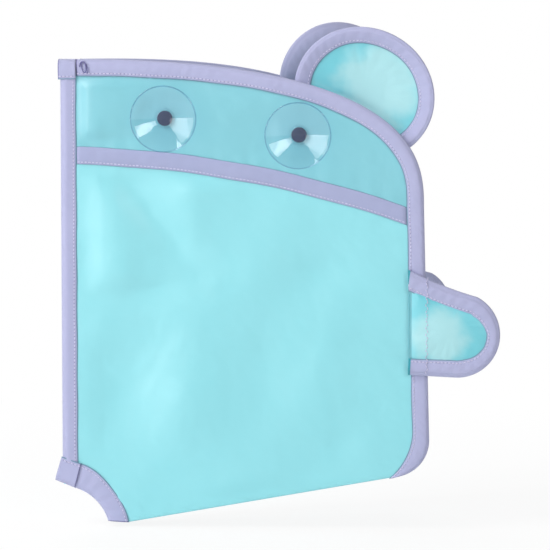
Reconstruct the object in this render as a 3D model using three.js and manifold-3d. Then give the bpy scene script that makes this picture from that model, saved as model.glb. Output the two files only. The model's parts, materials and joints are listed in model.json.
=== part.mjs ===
// Corner organizer for bath toys: two mirrored cloth halves that share one bound corner
// seam and hang on clear suction cups. Millimetres, +Z up.
// The left half lies in the XZ plane with its wall side facing -Y. The right half is its
// mirror image, folded open about the corner seam.

import * as THREE from 'three';
import { mergeVertices } from 'three/addons/utils/BufferGeometryUtils.js';
import Module from 'manifold-3d';

const wasm = await Module();
wasm.setup();

// Cloth, tape and the clearance between sewn layers
const FABRIC = 0.7;
const TAPE = 0.6;
const GAP = 0.3;
const SPINE = 0.8; // tape wrapped round a raw edge, measured in the plane of the panel

// One half, measured from the point where its corner seam and its bottom fold would meet
const HALF_WIDTH = 267.5;
const HALF_HEIGHT = 346;
const SIDE_FLARE = 4.5; // the side leans out by this much from shoulder to hem
const SHOULDER_RISE = 105;
const SHOULDER_POWER = 2.6; // power of the superellipse that the shoulder follows
const FOLD_ANGLE = THREE.MathUtils.degToRad(10.6); // slope of the bottom fold
const HEM = 3; // flat stretch of the pocket's front above the fold
const CORNER_RADIUS = 27;
const NOTCH_RADIUS = 35;

// Bound edges
const EDGE_TAPE_WIDTH = 12.3;
const EDGE_TAPE_TURN_RADIUS = 45; // inner edge of the tape round the bottom corner
const EDGE_TAPE_TURN_LEAD = 7; // height at which it starts, above the corner's centre
const NOTCH_TAPE_WIDTH = 15;
const SEAM_TAPE_WIDTH = 12;
const TOP_TAB_HEIGHT = 14.5;
const BOTTOM_TAB_HEIGHT = 22;
const BOTTOM_TAB_FLARE = 5.2;
const BOTTOM_TAB_FLARE_RISE = 4;

// Bound seam between header and pocket, and the pocket's mouth below it
const BAND_DROP = 63; // from the top edge, at the corner seam
const BAND_RADIUS = 775;
const BAND_WIDTH = 13;
const MOUTH_DROP = 14;
const MOUTH_TAPE_WIDTH = 12;
const POCKET_BULGE = 18;
const BULGE_SKEW = 1.8; // moves the fullest place away from the corner seam
const BULGE_MARGIN = 10; // flat cloth beside the tapes

// Ears
const EAR_RADIUS = 47.2; // along the way that the ear leans
const EAR_STRETCH = 4; // added to the radius along the shoulder
const EAR_TAPE_WIDTH = 12;
const EAR_SETBACK = 47; // from the side to the ear's foot on the shoulder
const EAR_LIFT = 7.7; // centre of the ear above the top edge
const EAR_DROP = 19.5; // sewn base of the ear below its centre
const PADDING = 2.4;
const CROWN = 1.0; // swelling of a padded panel on each face
const CROWN_WIDTH = 9;

// Arms
const ARM_LAP = 11; // base of the arm lying over the side tape
const ARM_LOW = 120.5;
const ARM_TALL = 76;
const ARM_TIP_OUT = 33; // from the base to the centre of the round tip
const ARM_TIP_RADIUS = 31;
const ARM_TIP_SINK = 1.5; // the tip hangs lower than the base by this much
const ARM_TOP_DIP = 3; // the upper edge sags inwards by this much
const ARM_TIP_SWEEP = THREE.MathUtils.degToRad(62);
const ARM_TAPE_WIDTH = 10.5;

// Suction cups and the studs that hold them
const CUP_RADIUS = 24;
const CUP_HEIGHT = 10.5;
const CUP_WALL = 1.3;
const RIM_WIDTH = 2;
const NECK_RADIUS = 7.2;
const NECK_HEIGHT = 2.6;
const SOCKET_DEPTH = 2.2;
const BACK_BOW = 0.7; // share of the cup's radius at which its back bows most
const HOLLOW_BOW = 0.6; // and the same for its hollow
const STUD_RADIUS = 5.4;
const STUD_HEAD_RADIUS = 8;
const STUD_HEAD_HEIGHT = 1.4;
const INNER_CUP_OUT = 76.4;
const INNER_CUP_DROP = 42.2;
const OUTER_CUP_OUT = 173.3;
const OUTER_CUP_DROP = 53.5;

// Fold between the halves
const FOLD_OPEN = THREE.MathUtils.degToRad(31); // as the organizer stands in the photo
const HINGE_GAP = 0.2;

// Facets
const SHOULDER_STEPS = 24;
const ARC_STEPS = 10;
const ARM_TOP_STEPS = 5;
const CROWN_STEPS = 2;
const BAND_STEPS = 14;
const BULGE_COLUMNS = 12;
const BULGE_ROWS = 8;
const EAR_STEPS = 26;
const CUP_STEPS = 28;
const CUP_BOW_STEPS = 4;
const STUD_STEPS = 20;
const OVERSHOOT = 40; // how far a cutting shape runs past the cloth
const TAB_SLOT_OVERSHOOT = 10; // and past the tape, where the notch is near
const CLOSE = 1; // points of a line that lie closer than this are left out

// Layers through one half, from the wall side (-Y) to the tub side (+Y)
const PANEL_LOW = -FABRIC / 2;
const PANEL_HIGH = FABRIC / 2;
const FRONT_LOW = PANEL_HIGH + GAP + TAPE + GAP;
const FRONT_HIGH = FRONT_LOW + FABRIC;
const SLOT_LOW = PANEL_LOW - GAP;
const SLOT_HIGH = FRONT_HIGH + GAP;
const EDGE_LOW = SLOT_LOW - TAPE;
const EDGE_HIGH = SLOT_HIGH + TAPE;
const BAND_LOW = SLOT_LOW - 2 * TAPE;
const CLOSING_PLANE = EDGE_HIGH + GAP / 2;
const SEAM_SLOT_HIGH = 2 * CLOSING_PLANE - SLOT_LOW;
const SEAM_HIGH = SEAM_SLOT_HIGH + TAPE;
const TAB_SLOT_LOW = EDGE_LOW - GAP;
const TAB_SLOT_HIGH = SEAM_HIGH + GAP;
const TAB_LOW = TAB_SLOT_LOW - TAPE;
const TAB_HIGH = TAB_SLOT_HIGH + TAPE;
const RIM_PLANE = SLOT_LOW - CUP_HEIGHT;

// Raw cloth edges lie inside the tape that binds them
const SLOT_INSET = SPINE + GAP;
const RAW_INSET = SLOT_INSET + GAP;

// Places that follow from the sizes above
const SHOULDER_WIDTH = HALF_WIDTH - SIDE_FLARE;
const SHOULDER_FOOT = HALF_HEIGHT - SHOULDER_RISE;
const foldAlong = new THREE.Vector2(Math.cos(FOLD_ANGLE), Math.sin(FOLD_ANGLE));
const foldUp = new THREE.Vector2(-foldAlong.y, foldAlong.x);
const cornerCentre = new THREE.Vector2(HALF_WIDTH - CORNER_RADIUS, 0);
cornerCentre.y = (CORNER_RADIUS - foldUp.x * cornerCentre.x) / foldUp.y;
const HINGE_X = SEAM_TAPE_WIDTH + HINGE_GAP;
const HINGE_Y = TAB_HIGH + HINGE_GAP;
const BESIDE_SEAM = SEAM_TAPE_WIDTH + GAP;
const BESIDE_HINGE = HINGE_X + HINGE_GAP;

const aquaCloth = new THREE.MeshStandardMaterial({ color: 0x9be0e9, roughness: 0.55, metalness: 0 });
const lilacTape = new THREE.MeshStandardMaterial({ color: 0xb5b8dc, roughness: 0.85, metalness: 0 });
const clearVinyl = new THREE.MeshStandardMaterial({
  color: 0xd4eef7,
  roughness: 0.1,
  metalness: 0,
  transparent: true,
  opacity: 0.4,
});
const darkViolet = new THREE.MeshStandardMaterial({ color: 0x3a3f6b, roughness: 0.4, metalness: 0 });

// Solids: a closed three.js geometry in and out of the boolean library
function solidOf(geometry) {
  const bare = geometry.clone();
  bare.deleteAttribute('normal');
  bare.deleteAttribute('uv');
  const merged = mergeVertices(bare);
  const triVerts = Uint32Array.from(merged.index.array);
  const vertProperties = Float32Array.from(merged.attributes.position.array);
  return new wasm.Manifold(new wasm.Mesh({ numProp: 3, vertProperties, triVerts }));
}

function geometryOf(solid) {
  const mesh = solid.getMesh();
  const geometry = new THREE.BufferGeometry();
  geometry.setAttribute('position', new THREE.BufferAttribute(mesh.vertProperties, 3));
  geometry.setIndex(new THREE.BufferAttribute(mesh.triVerts, 1));
  geometry.computeVertexNormals();
  return geometry;
}

// A plate with the given outline (x, height), between two layers of Y
function plate(outline, low, high) {
  const geometry = new THREE.ExtrudeGeometry(new THREE.Shape(outline), {
    depth: high - low,
    bevelEnabled: false,
  });
  geometry.rotateX(Math.PI / 2);
  geometry.translate(0, high, 0);
  return solidOf(geometry);
}

// Outline of an upright rectangle
function rectangle(left, right, bottom, top) {
  return [
    new THREE.Vector2(left, bottom),
    new THREE.Vector2(right, bottom),
    new THREE.Vector2(right, top),
    new THREE.Vector2(left, top),
  ];
}

// Points on an arc, from one angle to another
function arc(centre, radius, from, to, steps = ARC_STEPS) {
  return Array.from({ length: steps + 1 }, (_, i) => {
    const angle = THREE.MathUtils.lerp(from, to, i / steps);
    return new THREE.Vector2(Math.cos(angle), Math.sin(angle)).multiplyScalar(radius).add(centre);
  });
}

// An open line moved to its left by a distance, each point along the mean of its two sides
function offsetLine(points, distance) {
  return points.map((point, i) => {
    const before = points[Math.max(i - 1, 0)];
    const after = points[Math.min(i + 1, points.length - 1)];
    const along = after.clone().sub(before).normalize();
    return new THREE.Vector2(point.x - along.y * distance, point.y + along.x * distance);
  });
}

// Outline of one half

// The shoulder is a quarter of a superellipse. The angle is 90 degrees at the seam and 0 at
// the side, and the inset runs along the curve's normal.
function shoulderNormal(across, up) {
  const power = SHOULDER_POWER - 1;
  return new THREE.Vector2(across ** power / SHOULDER_WIDTH, up ** power / SHOULDER_RISE).normalize();
}

function shoulderPoint(across, inset) {
  const up = Math.max(1 - across ** SHOULDER_POWER, 0) ** (1 / SHOULDER_POWER);
  const point = new THREE.Vector2(across * SHOULDER_WIDTH, SHOULDER_FOOT + up * SHOULDER_RISE);
  return point.addScaledVector(shoulderNormal(across, up), -inset);
}

// Top, shoulder, side: from the given distance out of the seam to the start of the corner
function upperRun(start, inset) {
  const points = Array.from({ length: SHOULDER_STEPS + 1 }, (_, i) => {
    const angle = (Math.PI / 2) * (1 - i / SHOULDER_STEPS);
    return shoulderPoint(Math.cos(angle) ** (2 / SHOULDER_POWER), inset);
  });
  const first = shoulderPoint(start / SHOULDER_WIDTH, inset);
  first.x = start;
  return [first, ...points.filter((point) => point.x > start + CLOSE)];
}

function cornerRun(inset) {
  return arc(cornerCentre, CORNER_RADIUS - inset, 0, FOLD_ANGLE - Math.PI / 2);
}

// Closed outline of the cloth, drawn in by an inset from every bound edge
function clothOutline(start, inset) {
  const foot = cornerCentre.clone().addScaledVector(foldUp, -CORNER_RADIUS);
  foot.addScaledVector(foldAlong, -inset);
  const step = foot.clone().addScaledVector(foldUp, inset);
  const notch = NOTCH_RADIUS + inset;
  return [
    ...upperRun(start, inset),
    ...cornerRun(inset),
    step,
    foot,
    ...arc(new THREE.Vector2(), notch, FOLD_ANGLE, Math.acos(start / notch)),
  ];
}

// Strip of tape along top, shoulder, side and bottom corner
function edgeStrip(start) {
  const turn = new THREE.Vector2(
    HALF_WIDTH - EDGE_TAPE_WIDTH - EDGE_TAPE_TURN_RADIUS,
    cornerCentre.y + EDGE_TAPE_TURN_LEAD,
  );
  const overFold = turn.dot(foldUp);
  const end = FOLD_ANGLE - Math.PI / 2 + Math.acos(overFold / EDGE_TAPE_TURN_RADIUS);
  const outer = [...upperRun(start, 0), ...cornerRun(0)];
  const inner = [...upperRun(start, EDGE_TAPE_WIDTH), ...arc(turn, EDGE_TAPE_TURN_RADIUS, 0, end)];
  return [...outer, ...inner.reverse()];
}

function notchStrip(start) {
  const centre = new THREE.Vector2();
  const inner = NOTCH_RADIUS + NOTCH_TAPE_WIDTH;
  return [
    ...arc(centre, NOTCH_RADIUS, FOLD_ANGLE, Math.acos(start / NOTCH_RADIUS)),
    ...arc(centre, inner, FOLD_ANGLE, Math.acos(start / inner)).reverse(),
  ];
}

// Heights of the band, the mouth and the fold at a distance out of the seam
function bandTop(x) {
  return HALF_HEIGHT - BAND_DROP - BAND_RADIUS + Math.sqrt(BAND_RADIUS ** 2 - x ** 2);
}

function mouthTop(x) {
  return bandTop(x) - MOUTH_DROP;
}

function hemTop(x) {
  return x * Math.tan(FOLD_ANGLE) + HEM;
}

// Strip between two lines that run below the band's upper edge
function bandStrip(upper, lower) {
  const line = (drop) =>
    Array.from({ length: BAND_STEPS + 1 }, (_, i) => {
      const x = THREE.MathUtils.lerp(-OVERSHOOT, HALF_WIDTH + OVERSHOOT, i / BAND_STEPS);
      return new THREE.Vector2(x, bandTop(x) - drop);
    });
  return [...line(upper), ...line(lower).reverse()];
}

// The pocket's front: flat along the tapes and the fold, fullest at the mouth
const bulgeStart = SEAM_TAPE_WIDTH + BULGE_MARGIN;
const bulgeEnd = SHOULDER_WIDTH - EDGE_TAPE_WIDTH - BULGE_MARGIN;

function bulge(x, rise) {
  const across = THREE.MathUtils.clamp((x - bulgeStart) / (bulgeEnd - bulgeStart), 0, 1);
  const up = THREE.MathUtils.clamp(rise, 0, 1);
  return POCKET_BULGE * Math.sin(Math.PI * across ** BULGE_SKEW) * (1 - (1 - up) ** 2);
}

// Plate between two layers that both follow the pocket's bulge
function bulgedPlate(low, high) {
  const spread = Array.from({ length: BULGE_COLUMNS + 1 }, (_, i) =>
    THREE.MathUtils.lerp(bulgeStart, bulgeEnd, i / BULGE_COLUMNS),
  );
  const columns = [-OVERSHOOT, ...spread, HALF_WIDTH + OVERSHOOT];
  const climb = Array.from({ length: BULGE_ROWS + 1 }, (_, i) => i / BULGE_ROWS);
  const rows = [-1, ...climb, 2];
  const grid = (layer) =>
    rows.flatMap((rise) =>
      columns.map((x) => {
        const z = THREE.MathUtils.lerp(hemTop(x), mouthTop(x), rise);
        return new THREE.Vector3(x, layer + bulge(x, rise), z);
      }),
    );
  const across = columns.length;
  const count = across * rows.length;
  const at = (row, column) => row * across + column;
  const quads = [];
  for (let row = 0; row < rows.length - 1; row += 1) {
    for (let column = 0; column < across - 1; column += 1) {
      const ring = [at(row, column), at(row, column + 1), at(row + 1, column + 1), at(row + 1, column)];
      quads.push(ring);
      quads.push(ring.map((corner) => corner + count).reverse());
    }
  }
  const lastRow = rows.length - 1;
  const border = [
    ...columns.map((_, i) => at(0, i)),
    ...rows.slice(1).map((_, i) => at(i + 1, across - 1)),
    ...columns.slice(1).map((_, i) => at(lastRow, across - 2 - i)),
    ...rows.slice(1, -1).map((_, i) => at(lastRow - 1 - i, 0)),
  ];
  border.forEach((corner, i) => {
    const next = border[(i + 1) % border.length];
    quads.push([next, corner, corner + count, next + count]);
  });
  const geometry = new THREE.BufferGeometry().setFromPoints([...grid(low), ...grid(high)]);
  geometry.setIndex(quads.flatMap(([a, b, c, d]) => [a, b, c, a, c, d]));
  return solidOf(geometry);
}

// Half a ring of cloth along the bottom fold, with short legs that run into both walls
function foldStrip() {
  const outer = (FRONT_HIGH - PANEL_LOW) / 2;
  const inner = outer - FABRIC;
  const middle = new THREE.Vector2((FRONT_HIGH + PANEL_LOW) / 2, outer);
  const section = [
    ...arc(middle, outer, -Math.PI, 0),
    new THREE.Vector2(FRONT_HIGH, HEM),
    new THREE.Vector2(FRONT_LOW, HEM),
    ...arc(middle, inner, 0, -Math.PI),
    new THREE.Vector2(PANEL_HIGH, HEM),
    new THREE.Vector2(PANEL_LOW, HEM),
  ];
  const geometry = new THREE.ExtrudeGeometry(new THREE.Shape(section), {
    depth: HALF_WIDTH,
    bevelEnabled: false,
  });
  const basis = new THREE.Matrix4().makeBasis(
    new THREE.Vector3(0, 1, 0),
    new THREE.Vector3(foldUp.x, 0, foldUp.y),
    new THREE.Vector3(foldAlong.x, 0, foldAlong.y),
  );
  return solidOf(geometry.applyMatrix4(basis));
}

// Everything that lies lower than the start of the fold's round
function belowFold() {
  const height = (FRONT_HIGH - PANEL_LOW) / 2;
  const corner = (along, up) =>
    foldAlong.clone().multiplyScalar(along).addScaledVector(foldUp, up);
  return plate(
    [
      corner(-OVERSHOOT, height),
      corner(HALF_WIDTH + OVERSHOOT, height),
      corner(HALF_WIDTH + OVERSHOOT, -OVERSHOOT),
      corner(-OVERSHOOT, -OVERSHOOT),
    ],
    PANEL_LOW - OVERSHOOT,
    FRONT_HIGH + OVERSHOOT,
  );
}

// Bound edge: a flat tube of tape with its cloth slot cut out
function binding(strip, slot) {
  return plate(strip, EDGE_LOW, EDGE_HIGH).subtract(plate(slot, SLOT_LOW, SLOT_HIGH));
}

const cups = [
  { name: 'inner', centre: new THREE.Vector2(INNER_CUP_OUT, HALF_HEIGHT - INNER_CUP_DROP) },
  { name: 'outer', centre: new THREE.Vector2(OUTER_CUP_OUT, HALF_HEIGHT - OUTER_CUP_DROP) },
];

function headerPanel(start) {
  const aboveBand = bandStrip(-HALF_HEIGHT, (BAND_WIDTH - GAP) / 2);
  const cloth = plate(clothOutline(start, RAW_INSET), PANEL_LOW, PANEL_HIGH);
  const panel = cloth.intersect(plate(aboveBand, PANEL_LOW - OVERSHOOT, PANEL_HIGH + OVERSHOOT));
  const hole = (STUD_RADIUS + GAP) / Math.cos(Math.PI / STUD_STEPS);
  return cups.reduce((rest, { centre }) => {
    const round = arc(centre, hole, 0, 2 * Math.PI, STUD_STEPS).slice(1);
    return rest.subtract(plate(round, PANEL_LOW - OVERSHOOT, PANEL_HIGH + OVERSHOOT));
  }, panel);
}

function pocketSheet(start) {
  const outline = clothOutline(start, RAW_INSET);
  const reach = plate(outline, PANEL_LOW - OVERSHOOT, FRONT_HIGH + OVERSHOOT);
  const belowBand = bandStrip((BAND_WIDTH + GAP) / 2, 2 * HALF_HEIGHT);
  const belowMouth = bandStrip(MOUTH_DROP + RAW_INSET, 2 * HALF_HEIGHT);
  const back = plate(outline, PANEL_LOW, PANEL_HIGH);
  const backWall = back.intersect(plate(belowBand, PANEL_LOW - OVERSHOOT, PANEL_HIGH + OVERSHOOT));
  const mouthCut = plate(belowMouth, PANEL_LOW - OVERSHOOT, FRONT_HIGH + OVERSHOOT);
  const frontWall = bulgedPlate(FRONT_LOW, FRONT_HIGH).intersect(reach).intersect(mouthCut);
  const seamSide = rectangle(start, start + FABRIC, -OVERSHOOT, HALF_HEIGHT);
  const sideWall = plate(seamSide, PANEL_LOW, FRONT_HIGH).intersect(reach).intersect(mouthCut);
  const walls = backWall.add(frontWall).add(sideWall).subtract(belowFold());
  return walls.add(foldStrip().intersect(reach));
}

function seamBand(start) {
  const inside = plate(clothOutline(start, EDGE_TAPE_WIDTH + GAP), BAND_LOW, SLOT_LOW);
  return inside.intersect(plate(bandStrip(0, BAND_WIDTH), BAND_LOW - OVERSHOOT, OVERSHOOT));
}

function mouthBinding(start) {
  const inside = clothOutline(start, EDGE_TAPE_WIDTH + GAP);
  const reach = plate(inside, FRONT_LOW - OVERSHOOT, FRONT_HIGH + OVERSHOOT);
  const strip = bandStrip(MOUTH_DROP, MOUTH_DROP + MOUTH_TAPE_WIDTH);
  const slot = bandStrip(MOUTH_DROP + SLOT_INSET, MOUTH_DROP + MOUTH_TAPE_WIDTH + OVERSHOOT);
  const tape = bulgedPlate(FRONT_LOW - GAP - TAPE, FRONT_HIGH + GAP + TAPE)
    .intersect(reach)
    .intersect(plate(strip, FRONT_LOW - OVERSHOOT, FRONT_HIGH + OVERSHOOT));
  const cloth = bulgedPlate(FRONT_LOW - GAP, FRONT_HIGH + GAP);
  return tape.subtract(cloth.intersect(plate(slot, FRONT_LOW - OVERSHOOT, FRONT_HIGH + OVERSHOOT)));
}

// Padded panel: a flat plate with a rounded swelling on both faces
function paddedPanel(outline, pad, low) {
  const shape = new THREE.Shape(pad);
  const swelling = new THREE.ExtrudeGeometry(shape, {
    depth: PADDING,
    bevelEnabled: true,
    bevelThickness: CROWN,
    bevelSize: CROWN_WIDTH,
    bevelSegments: CROWN_STEPS,
  });
  swelling.rotateX(Math.PI / 2);
  swelling.translate(0, low + PADDING, 0);
  return plate(outline, low, low + PADDING).add(solidOf(swelling));
}

// A flap is a padded panel with a bound edge. Its base edge is left raw.
const FLAP_THICKNESS = PADDING + 2 * (GAP + TAPE);

function flapBinding(strip, slot, low) {
  const tape = plate(strip, low, low + FLAP_THICKNESS);
  return tape.subtract(plate(slot, low + TAPE, low + FLAP_THICKNESS - TAPE));
}

// The ear is an ellipse cut off along its sewn base, leaning with the shoulder's normal
const earAcross = (SHOULDER_WIDTH - EAR_SETBACK) / SHOULDER_WIDTH;
const earUp = shoulderNormal(
  earAcross,
  (1 - earAcross ** SHOULDER_POWER) ** (1 / SHOULDER_POWER),
);
const earCentre = shoulderPoint(earAcross, -EAR_LIFT);
const earAlong = new THREE.Vector2(earUp.y, -earUp.x);
const EAR_LOW = EDGE_HIGH + GAP;

function earArc(radius, drop) {
  const dip = Math.asin(drop / radius);
  const stretch = 1 + EAR_STRETCH / radius;
  return arc(new THREE.Vector2(), radius, -dip, Math.PI + dip, EAR_STEPS).map((point) =>
    earCentre
      .clone()
      .addScaledVector(earAlong, point.x * stretch)
      .addScaledVector(earUp, point.y),
  );
}

function earPanel() {
  const padRadius = EAR_RADIUS - EAR_TAPE_WIDTH - CROWN_WIDTH - GAP;
  const pad = earArc(padRadius, EAR_DROP - CROWN_WIDTH);
  return paddedPanel(earArc(EAR_RADIUS - RAW_INSET, EAR_DROP), pad, EAR_LOW + TAPE + GAP);
}

function earBinding() {
  const inner = earArc(EAR_RADIUS - EAR_TAPE_WIDTH, EAR_DROP).reverse();
  const strip = [...earArc(EAR_RADIUS, EAR_DROP), ...inner];
  return flapBinding(strip, earArc(EAR_RADIUS - SLOT_INSET, EAR_DROP + GAP), EAR_LOW);
}

// The arm lies over the side tape, on the wall side
function sideAt(height) {
  const drop = (SHOULDER_FOOT - height) / (SHOULDER_FOOT - cornerCentre.y);
  return SHOULDER_WIDTH + SIDE_FLARE * drop;
}

const armBase = sideAt(ARM_LOW + ARM_TALL / 2) - ARM_LAP;
const ARM_FACE = EDGE_LOW - GAP - FLAP_THICKNESS;

// Edge of the arm from the base's lower end round the tip to the base's upper end
function armEdge() {
  const tip = new THREE.Vector2(armBase + ARM_TIP_OUT, ARM_LOW - ARM_TIP_SINK + ARM_TIP_RADIUS);
  const round = arc(tip, ARM_TIP_RADIUS, -Math.PI / 2, ARM_TIP_SWEEP);
  const from = round[round.length - 1];
  const to = new THREE.Vector2(armBase, ARM_LOW + ARM_TALL);
  const dip = from.clone().lerp(to, 1 / 2);
  dip.y -= 2 * ARM_TOP_DIP; // the curve reaches half way to this point
  const upper = new THREE.QuadraticBezierCurve(from, dip, to).getPoints(ARM_TOP_STEPS).slice(1);
  return [new THREE.Vector2(armBase, ARM_LOW), ...round, ...upper];
}

function armLine(inset) {
  return offsetLine(armEdge(), inset);
}

// Keeps what lies beyond the arm's base
function beyondBase(solid) {
  const right = armBase + ARM_TIP_OUT + ARM_TIP_RADIUS + OVERSHOOT;
  const box = rectangle(armBase, right, ARM_LOW - OVERSHOOT, ARM_LOW + ARM_TALL + OVERSHOOT);
  return solid.intersect(plate(box, ARM_FACE - OVERSHOOT, ARM_FACE + OVERSHOOT));
}

// Closed outline of the arm, drawn in by an inset and run on past the base
function armOutline(inset) {
  const line = armLine(inset);
  const last = line[line.length - 1];
  const past = armBase - OVERSHOOT;
  return [new THREE.Vector2(past, line[0].y), ...line, new THREE.Vector2(past, last.y)];
}

function armPanel() {
  const padInset = ARM_TAPE_WIDTH + CROWN_WIDTH + GAP;
  const pad = armLine(padInset).filter((point) => point.x > armBase + CROWN_WIDTH);
  return beyondBase(paddedPanel(armOutline(RAW_INSET), pad, ARM_FACE + TAPE + GAP));
}

function armBinding() {
  const whole = plate(armOutline(0), ARM_FACE, ARM_FACE + FLAP_THICKNESS);
  const window = plate(armOutline(ARM_TAPE_WIDTH), ARM_FACE - OVERSHOOT, ARM_FACE + OVERSHOOT);
  const slot = plate(armOutline(SLOT_INSET), ARM_FACE + TAPE, ARM_FACE + FLAP_THICKNESS - TAPE);
  return beyondBase(whole.subtract(window).subtract(slot));
}

// Turned pieces: a profile of (radius, distance from the header towards the wall)
function turned(profile, centre, steps) {
  const geometry = new THREE.LatheGeometry(profile, steps);
  geometry.rotateX(Math.PI);
  geometry.translate(centre.x, 0, centre.y);
  return solidOf(geometry);
}

function suctionCup(centre) {
  const base = -SLOT_LOW;
  const point = (radius, out) => new THREE.Vector2(radius, base + out);
  const backBow = new THREE.QuadraticBezierCurve(
    point(NECK_RADIUS, NECK_HEIGHT),
    point(CUP_RADIUS * BACK_BOW, NECK_HEIGHT + CUP_WALL),
    point(CUP_RADIUS, CUP_HEIGHT - CUP_WALL),
  );
  const hollowBow = new THREE.QuadraticBezierCurve(
    point(CUP_RADIUS - RIM_WIDTH, CUP_HEIGHT),
    point(CUP_RADIUS * HOLLOW_BOW, NECK_HEIGHT + 2 * CUP_WALL),
    point(0, SOCKET_DEPTH + CUP_WALL),
  );
  const socket = STUD_RADIUS + GAP;
  const profile = [
    point(0, SOCKET_DEPTH),
    point(socket, SOCKET_DEPTH),
    point(socket, 0),
    point(NECK_RADIUS, 0),
    ...backBow.getPoints(CUP_BOW_STEPS),
    point(CUP_RADIUS, CUP_HEIGHT),
    ...hollowBow.getPoints(CUP_BOW_STEPS),
  ];
  return turned(profile, centre, CUP_STEPS);
}

function cupStud(centre) {
  const tip = -SLOT_LOW + SOCKET_DEPTH - GAP;
  const seat = -(PANEL_HIGH + GAP);
  const back = seat - STUD_HEAD_HEIGHT;
  const chamfer = STUD_HEAD_HEIGHT / 2;
  const profile = [
    new THREE.Vector2(0, back),
    new THREE.Vector2(STUD_HEAD_RADIUS - chamfer, back),
    new THREE.Vector2(STUD_HEAD_RADIUS, back + chamfer),
    new THREE.Vector2(STUD_HEAD_RADIUS, seat),
    new THREE.Vector2(STUD_RADIUS, seat),
    new THREE.Vector2(STUD_RADIUS, tip),
    new THREE.Vector2(0, tip),
  ];
  return turned(profile, centre, STUD_STEPS);
}

// Shared pieces along the corner seam
const seamFoot = NOTCH_RADIUS + SLOT_INSET + GAP;
const seamTop = HALF_HEIGHT - SLOT_INSET;

function cornerSeamBinding() {
  const tape = plate(rectangle(0, SEAM_TAPE_WIDTH, seamFoot, seamTop), EDGE_LOW, SEAM_HIGH);
  const slot = rectangle(SLOT_INSET, SEAM_TAPE_WIDTH + OVERSHOOT, 0, HALF_HEIGHT + OVERSHOOT);
  return tape.subtract(plate(slot, SLOT_LOW, SEAM_SLOT_HIGH));
}

function seamTopTab() {
  const outline = rectangle(-GAP - TAPE, SEAM_TAPE_WIDTH, HALF_HEIGHT - TOP_TAB_HEIGHT, HALF_HEIGHT);
  const slot = rectangle(-GAP, SEAM_TAPE_WIDTH + OVERSHOOT, 0, HALF_HEIGHT - SPINE);
  return plate(outline, TAB_LOW, TAB_HIGH).subtract(plate(slot, TAB_SLOT_LOW, TAB_SLOT_HIGH));
}

function seamBottomTab() {
  const centre = new THREE.Vector2();
  const top = NOTCH_RADIUS + BOTTOM_TAB_HEIGHT;
  const outline = [
    ...arc(centre, NOTCH_RADIUS, Math.acos(SEAM_TAPE_WIDTH / NOTCH_RADIUS), Math.PI / 2),
    new THREE.Vector2(-BOTTOM_TAB_FLARE, NOTCH_RADIUS + BOTTOM_TAB_FLARE_RISE),
    new THREE.Vector2(-GAP - TAPE, top),
    new THREE.Vector2(SEAM_TAPE_WIDTH, top),
  ];
  const inner = NOTCH_RADIUS + SPINE;
  const right = SEAM_TAPE_WIDTH + TAB_SLOT_OVERSHOOT;
  const slot = [
    ...arc(centre, inner, Math.acos(right / inner), Math.acos(-GAP / inner)),
    new THREE.Vector2(-GAP, top + OVERSHOOT),
    new THREE.Vector2(right, top + OVERSHOOT),
  ];
  return plate(outline, TAB_LOW, TAB_HIGH).subtract(plate(slot, TAB_SLOT_LOW, TAB_SLOT_HIGH));
}

function addPiece(group, name, solid, material) {
  const mesh = new THREE.Mesh(geometryOf(solid), material);
  mesh.name = name;
  group.add(mesh);
}

// One half. Its raw cloth starts at rawStart and its tapes at tapeStart, out of the seam.
function buildHalf(side, rawStart, tapeStart) {
  const half = new THREE.Group();
  const slot = clothOutline(tapeStart - GAP, SLOT_INSET);
  const mouthStart = Math.max(tapeStart, rawStart + FABRIC + GAP);
  addPiece(half, `${side}_header_panel`, headerPanel(rawStart), aquaCloth);
  addPiece(half, `${side}_pocket_sheet`, pocketSheet(rawStart), aquaCloth);
  addPiece(half, `${side}_seam_band`, seamBand(tapeStart), lilacTape);
  addPiece(half, `${side}_edge_binding`, binding(edgeStrip(tapeStart), slot), lilacTape);
  addPiece(half, `${side}_notch_binding`, binding(notchStrip(tapeStart), slot), lilacTape);
  addPiece(half, `${side}_mouth_binding`, mouthBinding(mouthStart), lilacTape);
  addPiece(half, `${side}_ear_panel`, earPanel(), aquaCloth);
  addPiece(half, `${side}_ear_binding`, earBinding(), lilacTape);
  addPiece(half, `${side}_arm_panel`, armPanel(), aquaCloth);
  addPiece(half, `${side}_arm_binding`, armBinding(), lilacTape);
  for (const { name, centre } of cups) {
    addPiece(half, `${side}_${name}_cup`, suctionCup(centre), clearVinyl);
    addPiece(half, `${side}_${name}_stud`, cupStud(centre), darkViolet);
  }
  return half;
}

// The origin lies where the wall plane of the left half's cups meets the corner seam's outer
// edge, at the height of the inner cups.
const organizer = new THREE.Group();
organizer.position.set(0, -RIM_PLANE, INNER_CUP_DROP - HALF_HEIGHT);

addPiece(organizer, 'corner_seam_binding', cornerSeamBinding(), lilacTape);
addPiece(organizer, 'seam_top_tab', seamTopTab(), lilacTape);
addPiece(organizer, 'seam_bottom_tab', seamBottomTab(), lilacTape);
organizer.add(buildHalf('left', RAW_INSET, BESIDE_SEAM));

const rightHalf = buildHalf('right', BESIDE_HINGE, BESIDE_HINGE);
rightHalf.scale.y = -1;
rightHalf.position.set(-HINGE_X, 2 * CLOSING_PLANE - HINGE_Y, 0);
const rightFold = new THREE.Group();
rightFold.name = 'right_fold';
rightFold.position.set(HINGE_X, HINGE_Y, 0);
rightFold.rotation.z = FOLD_OPEN;
rightFold.add(rightHalf);
organizer.add(rightFold);

export default organizer;
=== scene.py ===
"""Looks of a folding corner organizer for bath toys: coated cloth, lilac binding tape and clear
suction cups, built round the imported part. Lengths are metres.

A half is worked out in its own panel coordinates: out of the corner seam, towards the tub, and up
from the point where the corner seam and the bottom fold would meet. The right half is the mirror
image of the left one, folded open about the corner seam.
"""

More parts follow.
